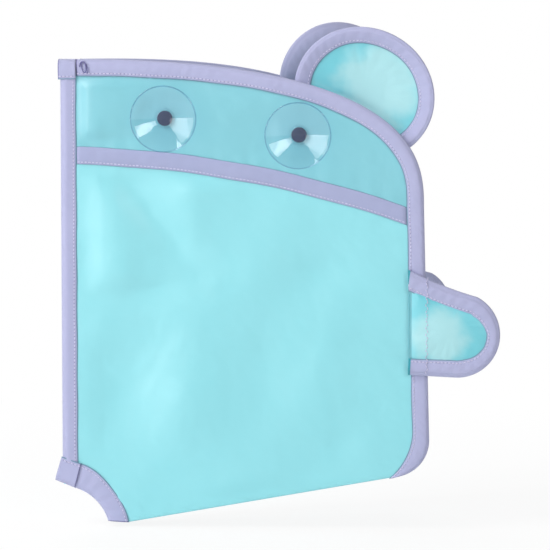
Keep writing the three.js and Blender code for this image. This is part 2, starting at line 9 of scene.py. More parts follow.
import json
import math
from collections import namedtuple

import bpy
import numpy as np
from bpy.props import FloatProperty, FloatVectorProperty, PointerProperty
from bpy.types import Operator, Panel, PropertyGroup
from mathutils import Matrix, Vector


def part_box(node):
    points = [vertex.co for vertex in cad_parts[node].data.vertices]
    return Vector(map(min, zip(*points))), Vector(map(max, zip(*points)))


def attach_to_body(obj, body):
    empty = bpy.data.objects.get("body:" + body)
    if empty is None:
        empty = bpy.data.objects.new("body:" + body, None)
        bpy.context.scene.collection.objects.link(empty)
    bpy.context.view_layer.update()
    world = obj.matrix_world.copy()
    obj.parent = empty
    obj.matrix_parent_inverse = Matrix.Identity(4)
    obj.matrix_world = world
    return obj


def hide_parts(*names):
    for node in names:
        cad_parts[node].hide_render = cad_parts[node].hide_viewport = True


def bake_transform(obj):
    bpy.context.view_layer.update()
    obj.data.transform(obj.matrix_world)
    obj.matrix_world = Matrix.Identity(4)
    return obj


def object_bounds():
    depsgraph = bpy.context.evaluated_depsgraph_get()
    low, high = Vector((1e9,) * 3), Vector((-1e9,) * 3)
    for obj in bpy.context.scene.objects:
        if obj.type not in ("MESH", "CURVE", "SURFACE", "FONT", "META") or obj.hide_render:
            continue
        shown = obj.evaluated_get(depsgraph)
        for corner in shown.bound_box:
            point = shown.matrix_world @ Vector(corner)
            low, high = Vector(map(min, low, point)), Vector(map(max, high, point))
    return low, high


bl_info = {
    "name": "Corner Organizer Looks",
    "version": (1, 0, 0),
    "blender": (4, 5, 0),
    "location": "3D View > Sidebar > Organizer",
    "description": "Cloth, binding tape and suction cups of a folding corner organizer",
    "category": "Object",
}

SIDES = ("left", "right")
CUP_NAMES = ("inner", "outer")
WALL, TUB = -1, 1  # the two faces of a half
FACE_WORDS = {WALL: "wall", TUB: "tub"}

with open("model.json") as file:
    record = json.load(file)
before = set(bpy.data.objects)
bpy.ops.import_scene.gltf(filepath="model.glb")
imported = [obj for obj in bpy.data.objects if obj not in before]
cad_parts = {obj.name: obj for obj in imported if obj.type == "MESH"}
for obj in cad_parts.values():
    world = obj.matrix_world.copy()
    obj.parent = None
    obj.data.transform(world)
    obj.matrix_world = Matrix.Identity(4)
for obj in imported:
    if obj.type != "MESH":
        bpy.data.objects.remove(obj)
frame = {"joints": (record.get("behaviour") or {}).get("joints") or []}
cad_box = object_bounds()


def joint_place(name):
    """Point on the axis of a CAD joint, in the row frame."""
    return next(np.array(joint["pos_m"]) for joint in frame["joints"] if joint["name"] == name)


def middle(node):
    """Middle of a CAD node's box."""
    low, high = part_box(node)
    return (low + high) / 2


PANEL_Y = middle("left_header_panel").y
TOP_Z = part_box("seam_top_tab")[1].z
CLOSING_Y = middle("corner_seam_binding").y - PANEL_Y  # where the two closed halves meet
HINGE = joint_place("corner_fold")


def layer(node):
    """Nearest and furthest distance of a CAD node from the left panel, towards the tub."""
    low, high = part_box(node)
    return low.y - PANEL_Y, high.y - PANEL_Y


# Sizes and colours that a user would change


def length(name, description, default):
    """A length in metres."""
    return FloatProperty(
        name=name, description=description, default=default, unit="LENGTH", precision=5
    )


def angle(name, description, degrees):
    """An angle, given in degrees."""
    return FloatProperty(
        name=name, description=description, default=math.radians(degrees), subtype="ANGLE"
    )


def share(name, description, default):
    """A plain number."""
    return FloatProperty(name=name, description=description, default=default, precision=3)


def colour(name, description, default):
    """A colour, in linear values."""
    return FloatVectorProperty(
        name=name, description=description, default=default, subtype="COLOR", min=0, soft_max=1
    )


class ClothSizes(PropertyGroup):
    """Cut of one half's cloth"""

    half_width: length("Half width", "From the seam to the side at the hem", 0.2675)
    half_height: length("Half height", "From the virtual bottom corner to the top", 0.346)
    side_flare: length("Side flare", "How far the side leans out from shoulder to hem", 0.0045)
    shoulder_rise: length("Shoulder rise", "Height of the curved shoulder", 0.105)
    shoulder_power: share("Shoulder power", "Power of the shoulder's superellipse", 2.6)
    fold_slope: angle("Fold slope", "Slope of the bottom fold", 10.6)
    fold_open: angle("Fold opening", "Angle between the halves at rest", 31)
    corner_radius: length("Corner radius", "Round of the lower outer corner", 0.027)
    notch_radius: length("Notch radius", "Round cut at the foot of the seam", 0.035)
    thickness: length("Cloth thickness", "Thickness of the coated cloth", 0.0007)
    raw_inset: length("Raw inset", "How far a raw edge lies inside its tape", 0.0014)
    pocket_gap: length("Pocket gap", "From back wall to pocket front along the tapes", 0.0019)
    band_drop: length("Band drop", "From the top to the band, at the seam", 0.063)
    band_radius: length("Band radius", "Radius of the band's arc", 0.775)
    band_width: length("Band width", "Width of the band", 0.013)
    mouth_drop: length("Mouth drop", "From the band's upper edge to the mouth", 0.014)
    bulge: length("Pocket bulge", "How far the pocket's mouth stands open", 0.018)
    bulge_skew: share("Bulge skew", "Moves the fullest place away from the seam", 1.8)
    bulge_margin: length("Bulge margin", "Flat cloth beside the tapes", 0.010)
    seam_tuck: length("Seam tuck", "Where the right cloth starts inside the seam tape", 0.004)


class TapeSizes(PropertyGroup):
    """Binding tape and its stitches"""

    thickness: length("Tape thickness", "Thickness of the woven tape", 0.0006)
    edge_width: length("Edge tape width", "Along top, shoulder and side", 0.0123)
    turn_radius: length("Turn radius", "Tape's inner edge round the lower corner", 0.045)
    turn_lead: length("Turn lead", "Start of that turn above the corner's centre", 0.007)
    seam_width: length("Seam tape width", "Along the corner seam", 0.012)
    notch_width: length("Notch tape width", "Along the round cut", 0.015)
    notch_spread: length("Notch spread", "Added to that width beside the seam", 0.0036)
    notch_cut: angle("Notch cut", "Where the tape's lower end is cut, above the bottom fold", 6.1)
    mouth_width: length("Mouth tape width", "Along the pocket's mouth", 0.012)
    ear_width: length("Ear tape width", "Round an ear", 0.012)
    arm_width: length("Arm tape width", "Round an arm", 0.0105)
    top_tab: length("Top tab", "Height of the wrap over the seam's top", 0.0145)
    bottom_tab: length("Bottom tab", "Height of the wrap over the seam's foot", 0.022)
    bottom_flare: length("Bottom flare", "How far that wrap flares past the seam", 0.0052)
    bottom_rise: length("Flare rise", "Height of the flare's tip above the notch", 0.004)
    puff: length("Puff", "Swelling of the tape between edge and stitches", 0.0008)
    press: length("Press", "How far a tape is pressed in where two of them fold together", 0.0004)
    spacing: length("Spacing", "Spacing of the mesh along a tape", 0.0011)
    stitch_pitch: length("Stitch pitch", "From stitch to stitch", 0.0027)
    stitch_length: length("Stitch length", "Visible thread of one stitch", 0.0019)
    stitch_inset: length("Stitch inset", "From the tape's inner edge to the stitches", 0.0022)
    thread_radius: length("Thread radius", "Half the thickness of the thread", 0.00032)


class FlapSizes(PropertyGroup):
    """Padded ears and arms"""

    ear_radius: length("Ear radius", "Outer radius of an ear along its lean", 0.0472)
    ear_stretch: length("Ear stretch", "Added to that radius along the shoulder", 0.004)
    ear_hollow: length("Ear hollow", "How far an ear is dished on its wall side", 0.0090)
    ear_setback: length("Ear setback", "From the side to the ear's foot on the shoulder", 0.047)
    ear_lift: length("Ear lift", "Centre of the ear above the top edge", 0.0077)
    ear_drop: length("Ear drop", "Sewn base of the ear below its centre", 0.0195)
    arm_swell: length("Arm swell", "How far an arm swells on its wall side", 0.0030)
    arm_cover: length("Arm cover", "Base of the arm past the side tape", 0.0019)
    arm_low: length("Arm height", "Lower end of the arm's base", 0.1205)
    arm_tall: length("Arm base", "Length of the arm's base", 0.076)
    arm_tip_out: length("Arm tip", "From the base to the centre of the round tip", 0.0349)
    arm_tip_radius: length("Arm tip radius", "Radius of the round tip", 0.031)
    arm_tip_sink: length("Arm tip sink", "How much lower the tip hangs", 0.0015)
    arm_top_dip: length("Arm dip", "Sag of the arm's upper edge", 0.0014)
    arm_tip_sweep: angle("Arm tip sweep", "Where the tip's round ends", 62)
    pad_edge: length("Pad edge", "Half thickness of a pad inside its tape", 0.0011)
    pad_crown: length("Pad crown", "Half thickness that the padding adds", 0.0012)
    pucker: length("Pucker", "Height of the puckers beside a pad's tape", 0.0003)
    pressure: share("Padding pressure", "Pressure that fills the pads", 2.0)
    draw: share("Cloth draw", "Share by which a pad's cloth is smaller than its frame", 0.012)


class CupSizes(PropertyGroup):
    """Suction cups and their studs"""

    wall: length("Cup wall", "Thickness of the cup", 0.0013)
    rim_width: length("Rim width", "Flat sealing rim", 0.0016)
    neck_radius: length("Neck radius", "Radius of the cup's neck", 0.0072)
    neck_height: length("Neck height", "Height of the cup's neck", 0.0026)
    socket_depth: length("Socket depth", "Depth of the stud's socket", 0.0022)
    stud_radius: length("Stud radius", "Radius of the stud", 0.0054)
    stud_head: length("Stud head", "Radius of the stud's head", 0.008)
    fillet: length("Fillet", "Small rounds on cup and stud", 0.0005)
    bead: length("Bead", "Round of the cup's lip", 0.0009)


class Finishes(PropertyGroup):
    """Colours of the organizer's materials"""

    aqua: colour("Aqua", "Coated cloth", (0.196, 0.655, 0.725))
    aqua_pale: colour("Pale aqua", "Cloth where the coating is thin", (0.236, 0.685, 0.755))
    single: colour("Single layer", "Share of it with no second layer behind", (0.73, 0.80, 0.845))
    flap: colour("Flap", "Cloth of the padded ears and arms", (0.100, 0.560, 0.655))
    # Pale flap is a painted highlight on the cloth of ears and arms
    flap_painted_highlight: colour("Pale flap", "That cloth where padding rubs it pale", (0.345, 0.690, 0.735))
    lilac: colour("Lilac", "Binding tape", (0.390, 0.400, 0.605))
    # Pale lilac is uneven dye, a painted highlight on the tape's raised yarns, and the colour of the
    # thread's twist
    lilac_pale: colour("Pale lilac", "Raised yarns of the tape", (0.455, 0.465, 0.668))
    # Band darkens the tape's colour on the band as painted shade
    band: colour("Band", "Share of the tape's colour on the band", (0.86, 0.90, 0.92))
    thread: colour("Thread", "Sewing thread", (0.800, 0.720, 0.880))
    loose: colour("Loose thread", "Share of that colour on a loose end", (0.22, 0.22, 0.41))
    # Needle holes and a tape's cut start are darkened with painted shade
    painted_hole_shade: colour("Needle holes", "Tape drawn down by the thread", (0.200, 0.190, 0.370))
    # Painted shadow of the tape's edge, laid on the tape beside its selvage
    selvage_painted_shade: colour("Crack", "Shade under the tape's selvage", (0.095, 0.230, 0.310))
    # Crevice is painted shade: on the cloth past the arm's turned-in base, and at the arm tape's turned-in
    # ends
    painted_crevice_shade: colour("Crevice", "Cloth turned in at the base of an arm", (0.030, 0.300, 0.370))
    vinyl: colour("Vinyl", "Clear cups, looked straight through", (0.965, 0.970, 0.985))
    vinyl_edge: colour("Vinyl edge", "Clear cups, looked through at a slant", (0.22, 0.42, 0.60))
    vinyl_lip: colour("Vinyl lip", "Lip of the clear cups", (0.70, 0.78, 0.87))
    vinyl_shade: colour("Vinyl shade", "Light that a clear cup lets through", (0.97, 0.98, 0.99))
    stud: colour("Stud", "Moulded studs", (0.035, 0.060, 0.140))
    paper: colour("Paper", "Floor and backdrop", (0.930, 0.930, 0.930))


class StudioSizes(PropertyGroup):
    """Camera, floor and light"""

    azimuth: angle("Azimuth", "Camera round the object", 5.8)
    elevation: angle("Elevation", "Camera above the horizon", 6.0)
    distance: length("Distance", "Camera from the point it looks at", 2.5)
    aim_out: length("Aim out", "Point that the camera looks at, out of the seam", 0.1559)
    aim_up: length("Aim up", "The same point's height in the row frame", -0.1125)
    lens: share("Lens", "Focal length in millimetres", 227.3)
    clearance: length("Clearance", "Floor below the lowest point", 0.0005)
    ambient: share("Ambient", "Strength of the surrounding light", 0.25)
    left_power: share("Left power", "Watts of the left softbox", 36.0)
    right_power: share("Right power", "Watts of the right softbox", 19.0)
    high_power: share("High power", "Watts of the softbox at the upper left", 29.0)
    back_power: share("Back power", "Watts of the softbox behind", 46.0)


class OrganizerSizes(PropertyGroup):
    """Everything that a user would change"""

    cloth: PointerProperty(type=ClothSizes)
    tape: PointerProperty(type=TapeSizes)
    flap: PointerProperty(type=FlapSizes)
    cup: PointerProperty(type=CupSizes)
    finish: PointerProperty(type=Finishes)
    studio: PointerProperty(type=StudioSizes)


def sizes():
    """The scene's own sizes."""
    return bpy.context.scene.organizer


# Meshes from whole arrays


def smooth(t):
    """Eases from 0 to 1: t squared times (3 - 2t), held at both ends."""
    t = np.clip(t, 0, 1)
    return t * t * (3 - 2 * t)


def bell(t):
    """Falls from 1 at the middle towards 0: exp(-t squared)."""
    return np.exp(-np.square(t))


def join(*values):
    """Arrays of single coordinates, spread to one shape and put together as points."""
    return np.stack(np.broadcast_arrays(*values), axis=-1)


def unit(vectors):
    """Vectors cut or stretched to a length of 1."""
    return vectors / np.linalg.norm(vectors, axis=-1, keepdims=True)


def lengths_along(points, axis):
    """Distance covered along one axis of a grid of points, from its first row or column."""
    steps = np.linalg.norm(np.diff(points, axis=axis), axis=-1)
    start = np.zeros_like(np.take(steps, [0], axis=axis))
    return np.concatenate([start, np.cumsum(steps, axis=axis)], axis=axis)


def on_line(at, run, line):
    """Points of a line at some distances along it; run holds the distances of its own points."""
    return join(*(np.interp(at, run, column) for column in line.T))


BEND_BEFORE, BEND_AFTER = 0.4, 0.5  # bending strip, in shares of the cloth's way from its tuck to the hinge


def seam_strip():
    """Where the right half's cloth starts and ends bending at the hinge, out of the seam."""
    reach = HINGE[0] - sizes().cloth.seam_tuck
    return HINGE[0] - reach * BEND_BEFORE, HINGE[0] + reach * BEND_AFTER


def place(points, side, seam_turn=False):
    """Panel coordinates in the row frame. The right half is mirrored in the closing plane and turned
    about the corner hinge by the fold's opening. With seam_turn the turn grows smoothly across the
    strip of cloth at the hinge."""
    flat = np.asarray(points, float)
    moved = flat.copy()
    cloth = sizes().cloth
    if side == "right":
        moved[..., 1] = 2 * CLOSING_Y - moved[..., 1]
    moved = moved + (0, PANEL_Y, TOP_Z - cloth.half_height)
    if side == "right":
        start, end = seam_strip()
        turn = cloth.fold_open * (smooth((flat[..., 0] - start) / (end - start)) if seam_turn else 1)
        out, across = moved[..., 0] - HINGE[0], moved[..., 1] - HINGE[1]
        moved[..., 0] = HINGE[0] + out * np.cos(turn) - across * np.sin(turn)
        moved[..., 1] = HINGE[1] + out * np.sin(turn) + across * np.cos(turn)
    return moved


def new_object(name, points, faces, uv, material):
    """A smooth mesh object at the origin from points, lists of corners, and a UV pair for each point."""
    mesh = bpy.data.meshes.new(name)
    mesh.from_pydata(np.asarray(points).reshape(-1, 3).tolist(), [], faces)
    layer_uv = mesh.uv_layers.new(name="surface")
    corners = np.empty(len(mesh.loops), np.int32)
    mesh.loops.foreach_get("vertex_index", corners)
    layer_uv.data.foreach_set("uv", np.asarray(uv, np.float32).reshape(-1, 2)[corners].ravel())
    mesh.materials.append(material)
    mesh.shade_smooth()
    if mesh.validate():
        raise RuntimeError(f"{name} has faulty faces")
    made = bpy.data.objects.new(name, mesh)
    bpy.context.scene.collection.objects.link(made)
    return made


def squares(index):
    """Corners of the squares of a grid of point numbers."""
    return join(index[:-1, :-1], index[1:, :-1], index[1:, 1:], index[:-1, 1:]).reshape(-1, 4)


def grid_faces(rows, columns, wrap=False, flip=False):
    """Corners of the squares of a grid, row by row. With wrap the last column joins the first."""
    index = np.arange(rows * columns).reshape(rows, columns)
    if wrap:
        index = np.concatenate([index, index[:, :1]], axis=1)
    quads = squares(index)
    return quads[:, ::-1] if flip else quads


def grid_object(name, points, uv, material, flip=False):
    """A surface over a grid of points."""
    rows, columns = points.shape[:2]
    return new_object(name, points, grid_faces(rows, columns, flip=flip).tolist(), uv, material)


def thicken(made, thickness, offset):
    """Gives a sheet its thickness: offset 0 is about its middle, -1 is inwards."""
    wall = made.modifiers.new("thickness", "SOLIDIFY")
    wall.thickness = thickness
    wall.offset = offset
    wall.use_even_offset = True


def attach(made, body, nodes=(), blend=None):
    """Rides a piece on its body, or with a blend bakes its place into its mesh, and hides the CAD
    nodes it stands for."""
    if body:
        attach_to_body(made, body)
    if blend:
        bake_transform(made)
    if nodes:
        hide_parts(*nodes)


# Outline of one half, in the panel's plane: arrays of (out of the seam, up)

FINE = 600  # points of a line before it is spaced evenly


def straight(start, end):
    """Evenly spaced points on a straight line."""
    return np.array(start) + (np.array(end) - np.array(start)) * np.linspace(0, 1, FINE)[:, None]


def bridged(first, last):
    """Two lines joined by a straight one."""
    return np.concatenate([first, straight(first[-1], last[0])[1:-1], last])


def arc(centre, radius, start, end):
    """Points on a circle from one angle to another."""
    turn = np.linspace(start, end, FINE)
    return join(centre[0] + radius * np.cos(turn), centre[1] + radius * np.sin(turn))


def bow(start, control, end, count):
    """A parabola from start to end that leans towards a control point."""
    t = np.linspace(0, 1, count)[:, None]
    start, control, end = (np.array(point, float) for point in (start, control, end))
    return (1 - t) ** 2 * start + 2 * t * (1 - t) * control + t**2 * end


def shoulder_size():
    """Half axes of the shoulder's superellipse and the height of its foot."""
    cloth = sizes().cloth
    wide = cloth.half_width - cloth.side_flare
    return wide, cloth.shoulder_rise, cloth.half_height - cloth.shoulder_rise


def shoulder_normal(across, up):
    """Outward direction of the superellipse at shares of its half axes."""
    wide, rise, _ = shoulder_size()
    power = sizes().cloth.shoulder_power - 1
    return unit(join(across**power / wide, up**power / rise))


def shoulder_point(across, inset):
    """Point of the shoulder at a share of its width: (x/a)^p + (z/b)^p = 1, drawn in along its
    normal."""
    wide, rise, foot = shoulder_size()
    power = sizes().cloth.shoulder_power
    up = np.maximum(1 - across**power, 0) ** (1 / power)
    return join(across * wide, foot + up * rise) - inset * shoulder_normal(across, up)


def shoulder_line(start, inset):
    """Top and shoulder from a distance out of the seam to the shoulder's foot."""
    wide, _, _ = shoulder_size()
    power = sizes().cloth.shoulder_power
    first = math.acos((start / wide) ** (power / 2))
    return shoulder_point(np.cos(np.linspace(first, 0, FINE)) ** (2 / power), inset)


def corner_centre():
    """Centre of the round lower corner, which touches the side and the bottom fold."""
    cloth = sizes().cloth
    out = cloth.half_width - cloth.corner_radius
    slope = cloth.fold_slope
    return np.array([out, (cloth.corner_radius + math.sin(slope) * out) / math.cos(slope)])


def band_top(x):
    """Height of the band's upper edge: an arc of the band's radius, level at the seam."""
    cloth = sizes().cloth
    centre = cloth.half_height - cloth.band_drop - cloth.band_radius
    return centre + np.sqrt(cloth.band_radius**2 - np.square(x))


def mouth_top(x):
    """Height of the pocket's mouth."""
    return band_top(x) - sizes().cloth.mouth_drop


def hem(x, inset):
    """Lower edge of the cloth: the highest of the bottom fold, the notch's circle, the notch tape's
    cut end and the round corner's circle, drawn in by an inset where it is bound."""
    cloth = sizes().cloth
    fold = x * math.tan(cloth.fold_slope)
    notch_radius = cloth.notch_radius + inset
    notch = np.sqrt(np.maximum(notch_radius**2 - np.square(x), 0))
    centre, radius = corner_centre(), cloth.corner_radius - inset
    past = np.clip(x - centre[0], 0, radius)
    corner = centre[1] - np.sqrt(radius**2 - np.square(past))
    corner = np.where(past > radius * math.sin(cloth.fold_slope), corner, 0)
    return np.maximum(np.maximum(fold, notch), np.maximum(corner, notch_end(x)))


def notch_end(x):
    """Height of the cut end of the notch tape: a straight line between the ends of its two edges."""
    cloth, tape = sizes().cloth, sizes().tape
    first, last = cloth.fold_slope + tape.notch_cut, cloth.fold_slope
    near = cloth.notch_radius * np.array([math.cos(first), math.sin(first)])
    far = (cloth.notch_radius + tape.notch_width) * np.array([math.cos(last), math.sin(last)])
    line = near[1] + (x - near[0]) * (far[1] - near[1]) / (far[0] - near[0])
    return np.where(x < far[0], line, 0)


def pocket_swell(x, z):
    """How far the pocket's front stands off: a skewed sine across, rising with 1 - (1 - t)^2 from
    hem to mouth."""
    cloth = sizes().cloth
    start = sizes().tape.seam_width + cloth.bulge_margin
    end = shoulder_size()[0] - sizes().tape.edge_width - cloth.bulge_margin
    across = np.clip((x - start) / (end - start), 0, 1)
    low = x * math.tan(cloth.fold_slope)
    rise = np.clip((z - low) / (mouth_top(x) - low), 0, 1)
    return cloth.bulge * np.sin(np.pi * across**cloth.bulge_skew) * (1 - np.square(1 - rise))


# Relief of the cloth

Crease = namedtuple("Crease", "start end width height skew")
Swell = namedtuple("Swell", "height out up lag")

# Soft folds of a back wall: a line in shares of a half's width and height, the width of the fold,
# its height towards the wall, and how many times wider it is on the left of the line's way.
CREASES = (
    Crease((0.36, 0.74), (0.36, 0.61), 0.013, 0.0022, 2.0),
    Crease((0.18, 0.73), (0.33, 0.61), 0.011, -0.0026, 1.0),
    Crease((0.14, 0.73), (0.165, 0.54), 0.022, 0.0031, 0.8),
    Crease((0.40, 0.49), (0.33, 0.12), 0.028, 0.0023, 1.5),
    Crease((0.20, 0.47), (0.19, 0.22), 0.024, -0.0022, 1.0),
    Crease((0.07, 0.500), (0.30, 0.525), 0.012, -0.0014, 0.6),
    Crease((0.60, 0.550), (0.99, 0.540), 0.036, -0.0026, 0.42),
    Crease((0.50, 0.50), (0.52, 0.20), 0.035, -0.0008, 1.0),
    Crease((0.72, 0.50), (0.70, 0.24), 0.040, 0.0010, 1.0),
    Crease((0.80, 0.325), (0.95, 0.340), 0.007, -0.0016, 0.8),
    Crease((0.76, 0.20), (0.93, 0.23), 0.010, -0.0022, 1.0),
)
SEAM_FOLD = Crease((0.088, 0.99), (0.088, 0.84), 0.011, 0.0030, 2.2)  # in the header
FOLD_PAST, FOLD_FADE = 0.3, 0.45  # shares of its line by which a fold runs on, and fades

# Broad swells: their height, the way out and up that turns a wave by a radian, and how many times
# the half's own start they start at
RISING = Swell(0.00070, 0.021, 0.030, 1.0)
FALLING = Swell(0.00055, 0.015, -0.024, 1.7)
LEVEL = Swell(0.00045, 0.030, 0.012, 1.0)
SNAKE = 0.8  # how far the level swell snakes, in radians
SIDE_PHASES = {"left": 0.0, "right": 2.1}  # where the swells of a half start
FRONT_PHASE, FRONT_SWELL = 4.0, 2.2  # the pocket fronts' own start, and how many times higher they are

FOLD_MARGIN, SEAM_FOLD_MARGIN = 0.020, 0.009  # distances from the tapes at which folds are full
BAND_MARGIN, HEM_MARGIN = 0.012, 0.012  # the same from the band and from the hem
PUCKER_HEIGHT = 0.00022
TAPE_FADE, BAND_FADE = 0.006, 0.010  # distances from the tapes over which puckers fade
PUCKER_START, PUCKER_EASE = 0.8, 0.004  # their start in the seam tape's width, and how soon they are full
RIPPLE, RIPPLE_RUN = 0.4, 0.017  # share by which they come and go, and the length for a radian
CUP_FLAT = 0.4  # share of a cup's radius inside which the cloth is quite flat


def fold_height(x, z, crease):
    """A fold along a line: a bell across the line, skewed to one side, faded out past both ends."""
    cloth = sizes().cloth
    scale = np.array([cloth.half_width, cloth.half_height])
    start, end = np.array(crease.start) * scale, np.array(crease.end) * scale
    line = end - start
    size = np.hypot(*line)
    along = ((x - start[0]) * line[0] + (z - start[1]) * line[1]) / size**2
    across = ((x - start[0]) * line[1] - (z - start[1]) * line[0]) / size
    reach = np.where(across < 0, crease.width * crease.skew, crease.width)
    fade = smooth((along + FOLD_PAST) / FOLD_FADE) * smooth((1 + FOLD_PAST - along) / FOLD_FADE)
    return crease.height * bell(across / reach) * fade


def slow_waves(x, z, phase):
    """Broad swells: two slanting sines and a level one that snakes, 7 to 11 cm long."""
    return (
        RISING.height * np.sin(x / RISING.out + z / RISING.up + RISING.lag * phase)
        + FALLING.height * np.sin(x / FALLING.out + z / FALLING.up + FALLING.lag * phase)
        + LEVEL.height * np.sin(z / LEVEL.up + SNAKE * np.sin(x / LEVEL.out) + LEVEL.lag * phase)
    )


def bound_share(x, z, reach):
    """0 at the tapes of a half and 1 beyond a reach, from the distance to seam, side, hem, shoulder
    and band."""
    cloth, tape = sizes().cloth, sizes().tape
    wide, rise, foot = shoulder_size()
    power = cloth.shoulder_power
    spread = (np.abs(x) / wide) ** power + (np.maximum(z - foot, 0) / rise) ** power
    shoulder = (1 - spread ** (1 / power)) * rise
    across = np.minimum(x - tape.seam_width, wide - tape.edge_width - x)
    upright = np.minimum(z - hem(x, tape.notch_width / 2), shoulder - tape.edge_width)
    from_band = np.abs(z - band_top(x) + cloth.band_width / 2) - cloth.band_width / 2
    return smooth(np.minimum(across, upright) / reach) * smooth(from_band / BAND_MARGIN)


def cup_place(name):
    """Centre and radius of a cup in the panel's plane."""
    low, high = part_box(f"left_{name}_cup")
    base = TOP_Z - sizes().cloth.half_height
    return ((low.x + high.x) / 2, (low.z + high.z) / 2 - base), (high.x - low.x) / 2


def pucker(along, phase, pitch, wander):
    """A sine along a tape whose pitch wanders: both lengths are those that turn it by a radian."""
    return np.sin(along / pitch + 2 * np.sin(along / wander) + phase)


def gathers(x, z, phase):
    """Small puckers that the stitches draw along seam, side and band, dying away within a centimetre
    of the tape."""
    tape = sizes().tape
    from_seam = np.maximum(x - tape.seam_width, 0)
    from_side = np.maximum(shoulder_size()[0] - tape.edge_width - x, 0)
    from_band = np.abs(z - band_top(x))
    ripple = 1 - RIPPLE + RIPPLE * np.sin(z / RIPPLE_RUN + phase)
    return PUCKER_HEIGHT * (
        pucker(z, phase, pitch=0.0019, wander=0.021) * np.exp(-from_seam / TAPE_FADE) * ripple
        + pucker(z, phase, pitch=0.0021, wander=0.026) * np.exp(-from_side / TAPE_FADE) * ripple
        + pucker(x, phase, pitch=0.0022, wander=0.024) * np.exp(-from_band / BAND_FADE)
    )


def wall_relief(x, z, side):
    """Relief of a back wall towards the wall side: folds and swells inside the tapes, puckers beside
    them, all flattened under the cups."""
    phase = SIDE_PHASES[side]
    folds = sum(fold_height(x, z, crease) for crease in CREASES) + slow_waves(x, z, phase)
    relief = folds * bound_share(x, z, FOLD_MARGIN)
    relief = relief + fold_height(x, z, SEAM_FOLD) * bound_share(x, z, SEAM_FOLD_MARGIN)
    edge = smooth((x - sizes().tape.seam_width * PUCKER_START) / PUCKER_EASE)
    relief = relief + gathers(x, z, phase) * edge
    for name in CUP_NAMES:
        centre, radius = cup_place(name)
        away = np.hypot(x - centre[0], z - centre[1])
        relief = relief * smooth((away - CUP_FLAT * radius) / ((1 - CUP_FLAT) * radius))
    return relief


# Materials


class Nodes:
    """A material's node tree, with short ways to add and join nodes."""

    def __init__(self, name):
        self.material = bpy.data.materials.new(name)
        self.material.use_nodes = True
        self.tree = self.material.node_tree
        self.shader = self.tree.nodes["Principled BSDF"]

    def add(self, kind, links=None, **values):
        """Adds a node with its settings, then sets or joins its sockets."""
        node = self.tree.nodes.new(kind)
        for key, value in values.items():
            setattr(node, key, value)
        for socket, source in (links or {}).items():
            self.put(node, socket, source)
        return node

    def put(self, node, socket, source):
        """Sets a socket to a value, or joins it to another node's output."""
        if isinstance(source, bpy.types.NodeSocket):
            self.tree.links.new(source, node.inputs[socket])
        elif node.inputs[socket].type == "RGBA":
            node.inputs[socket].default_value = (*source, 1.0)
        else:
            node.inputs[socket].default_value = source

    def set(self, **values):
        """Sets or joins the shader's own sockets."""
        for socket, source in values.items():
            self.put(self.shader, socket.replace("_", " "), source)

    def show(self, shader):
        """Gives the material's surface another shader's output."""
        self.tree.links.new(shader.outputs[0], self.tree.nodes["Material Output"].inputs["Surface"])

    def surface(self):
        """The piece's own UV."""
        return self.add("ShaderNodeTexCoord").outputs["UV"]

    def position(self):
        """Place on the piece."""
        return self.add("ShaderNodeTexCoord").outputs["Object"]

    def noise(self, vector, scale, detail=2.0):
        """Cloudy values about a half."""
        links = {"Vector": vector, "Scale": scale, "Detail": detail}
        return self.add("ShaderNodeTexNoise", links).outputs["Fac"]

    def bands(self, vector, pitch, direction):
        """Parallel ribs a pitch apart: the wave's period is pi / (10 scale)."""
        links = {"Vector": vector, "Scale": math.pi / 10 / pitch}
        node = self.add("ShaderNodeTexWave", links, bands_direction=direction, wave_profile="SIN")
        return node.outputs["Fac"]

    def distance(self, vector, point):
        """Distance of a vector from a point."""
        node = self.add("ShaderNodeVectorMath", {0: vector, 1: point}, operation="DISTANCE")
        return node.outputs["Value"]

    def mix(self, amount, first, second):
        """One colour, then the other, as the amount goes from 0 to 1."""
        links = {0: amount, 6: first, 7: second}
        return self.add("ShaderNodeMix", links, data_type="RGBA").outputs[2]

    def blend(self, amount, first, second):
        """One shader, then the other, as the amount goes from 0 to 1."""
        links = {0: amount, 1: first.outputs[0], 2: second.outputs[0]}
        return self.add("ShaderNodeMixShader", links)

    def math(self, operation, first, second=0.0):
        """Arithmetic on one or two values."""
        return self.add("ShaderNodeMath", {0: first, 1: second}, operation=operation).outputs[0]

    def split(self, vector):
        """The first two values of a vector."""
        parts = self.add("ShaderNodeSeparateXYZ", {"Vector": vector}).outputs
        return parts[0], parts[1]

    def ease(self, source, start, end, low=0.0, high=1.0):
        """Eases from low to high while a value goes from start to end."""
        links = {"Value": source, "From Min": start, "From Max": end, "To Min": low, "To Max": high}
        return self.add("ShaderNodeMapRange", links, interpolation_type="SMOOTHSTEP").outputs["Result"]

    def remap(self, source, low, high):
        """Stretches values of 0 to 1 between low and high."""
        links = {"Value": source, "To Min": low, "To Max": high}
        return self.add("ShaderNodeMapRange", links).outputs["Result"]

    def bump(self, height, distance, strength, under=None):
        """Normals of a relief, on top of another relief."""
        links = {"Height": height, "Distance": distance, "Strength": strength}
        if under is not None:
            links["Normal"] = under
        return self.add("ShaderNodeBump", links).outputs["Normal"]


def tinted(values, share_of):
    """A colour with each of its values changed by a share."""
    return tuple(value * part for value, part in zip(values, share_of))


PLAIN = (1, 1, 1)
CLOTH_YARN, TAPE_RIB, TAPE_WARP, THREAD_TWIST = 0.00045, 0.00062, 0.00048, 0.0004  # pitches
RIB_SHARE, WARP_SHARE = 0.7, 0.3  # of the tape's relief
# A flap's painted highlight spreads over these shares of its reach
CLOUD_SPREAD, HIGHLIGHT_SPREAD = 0.3, 0.45  # shares of a flap's pale reach: its ragged edge, its even middle
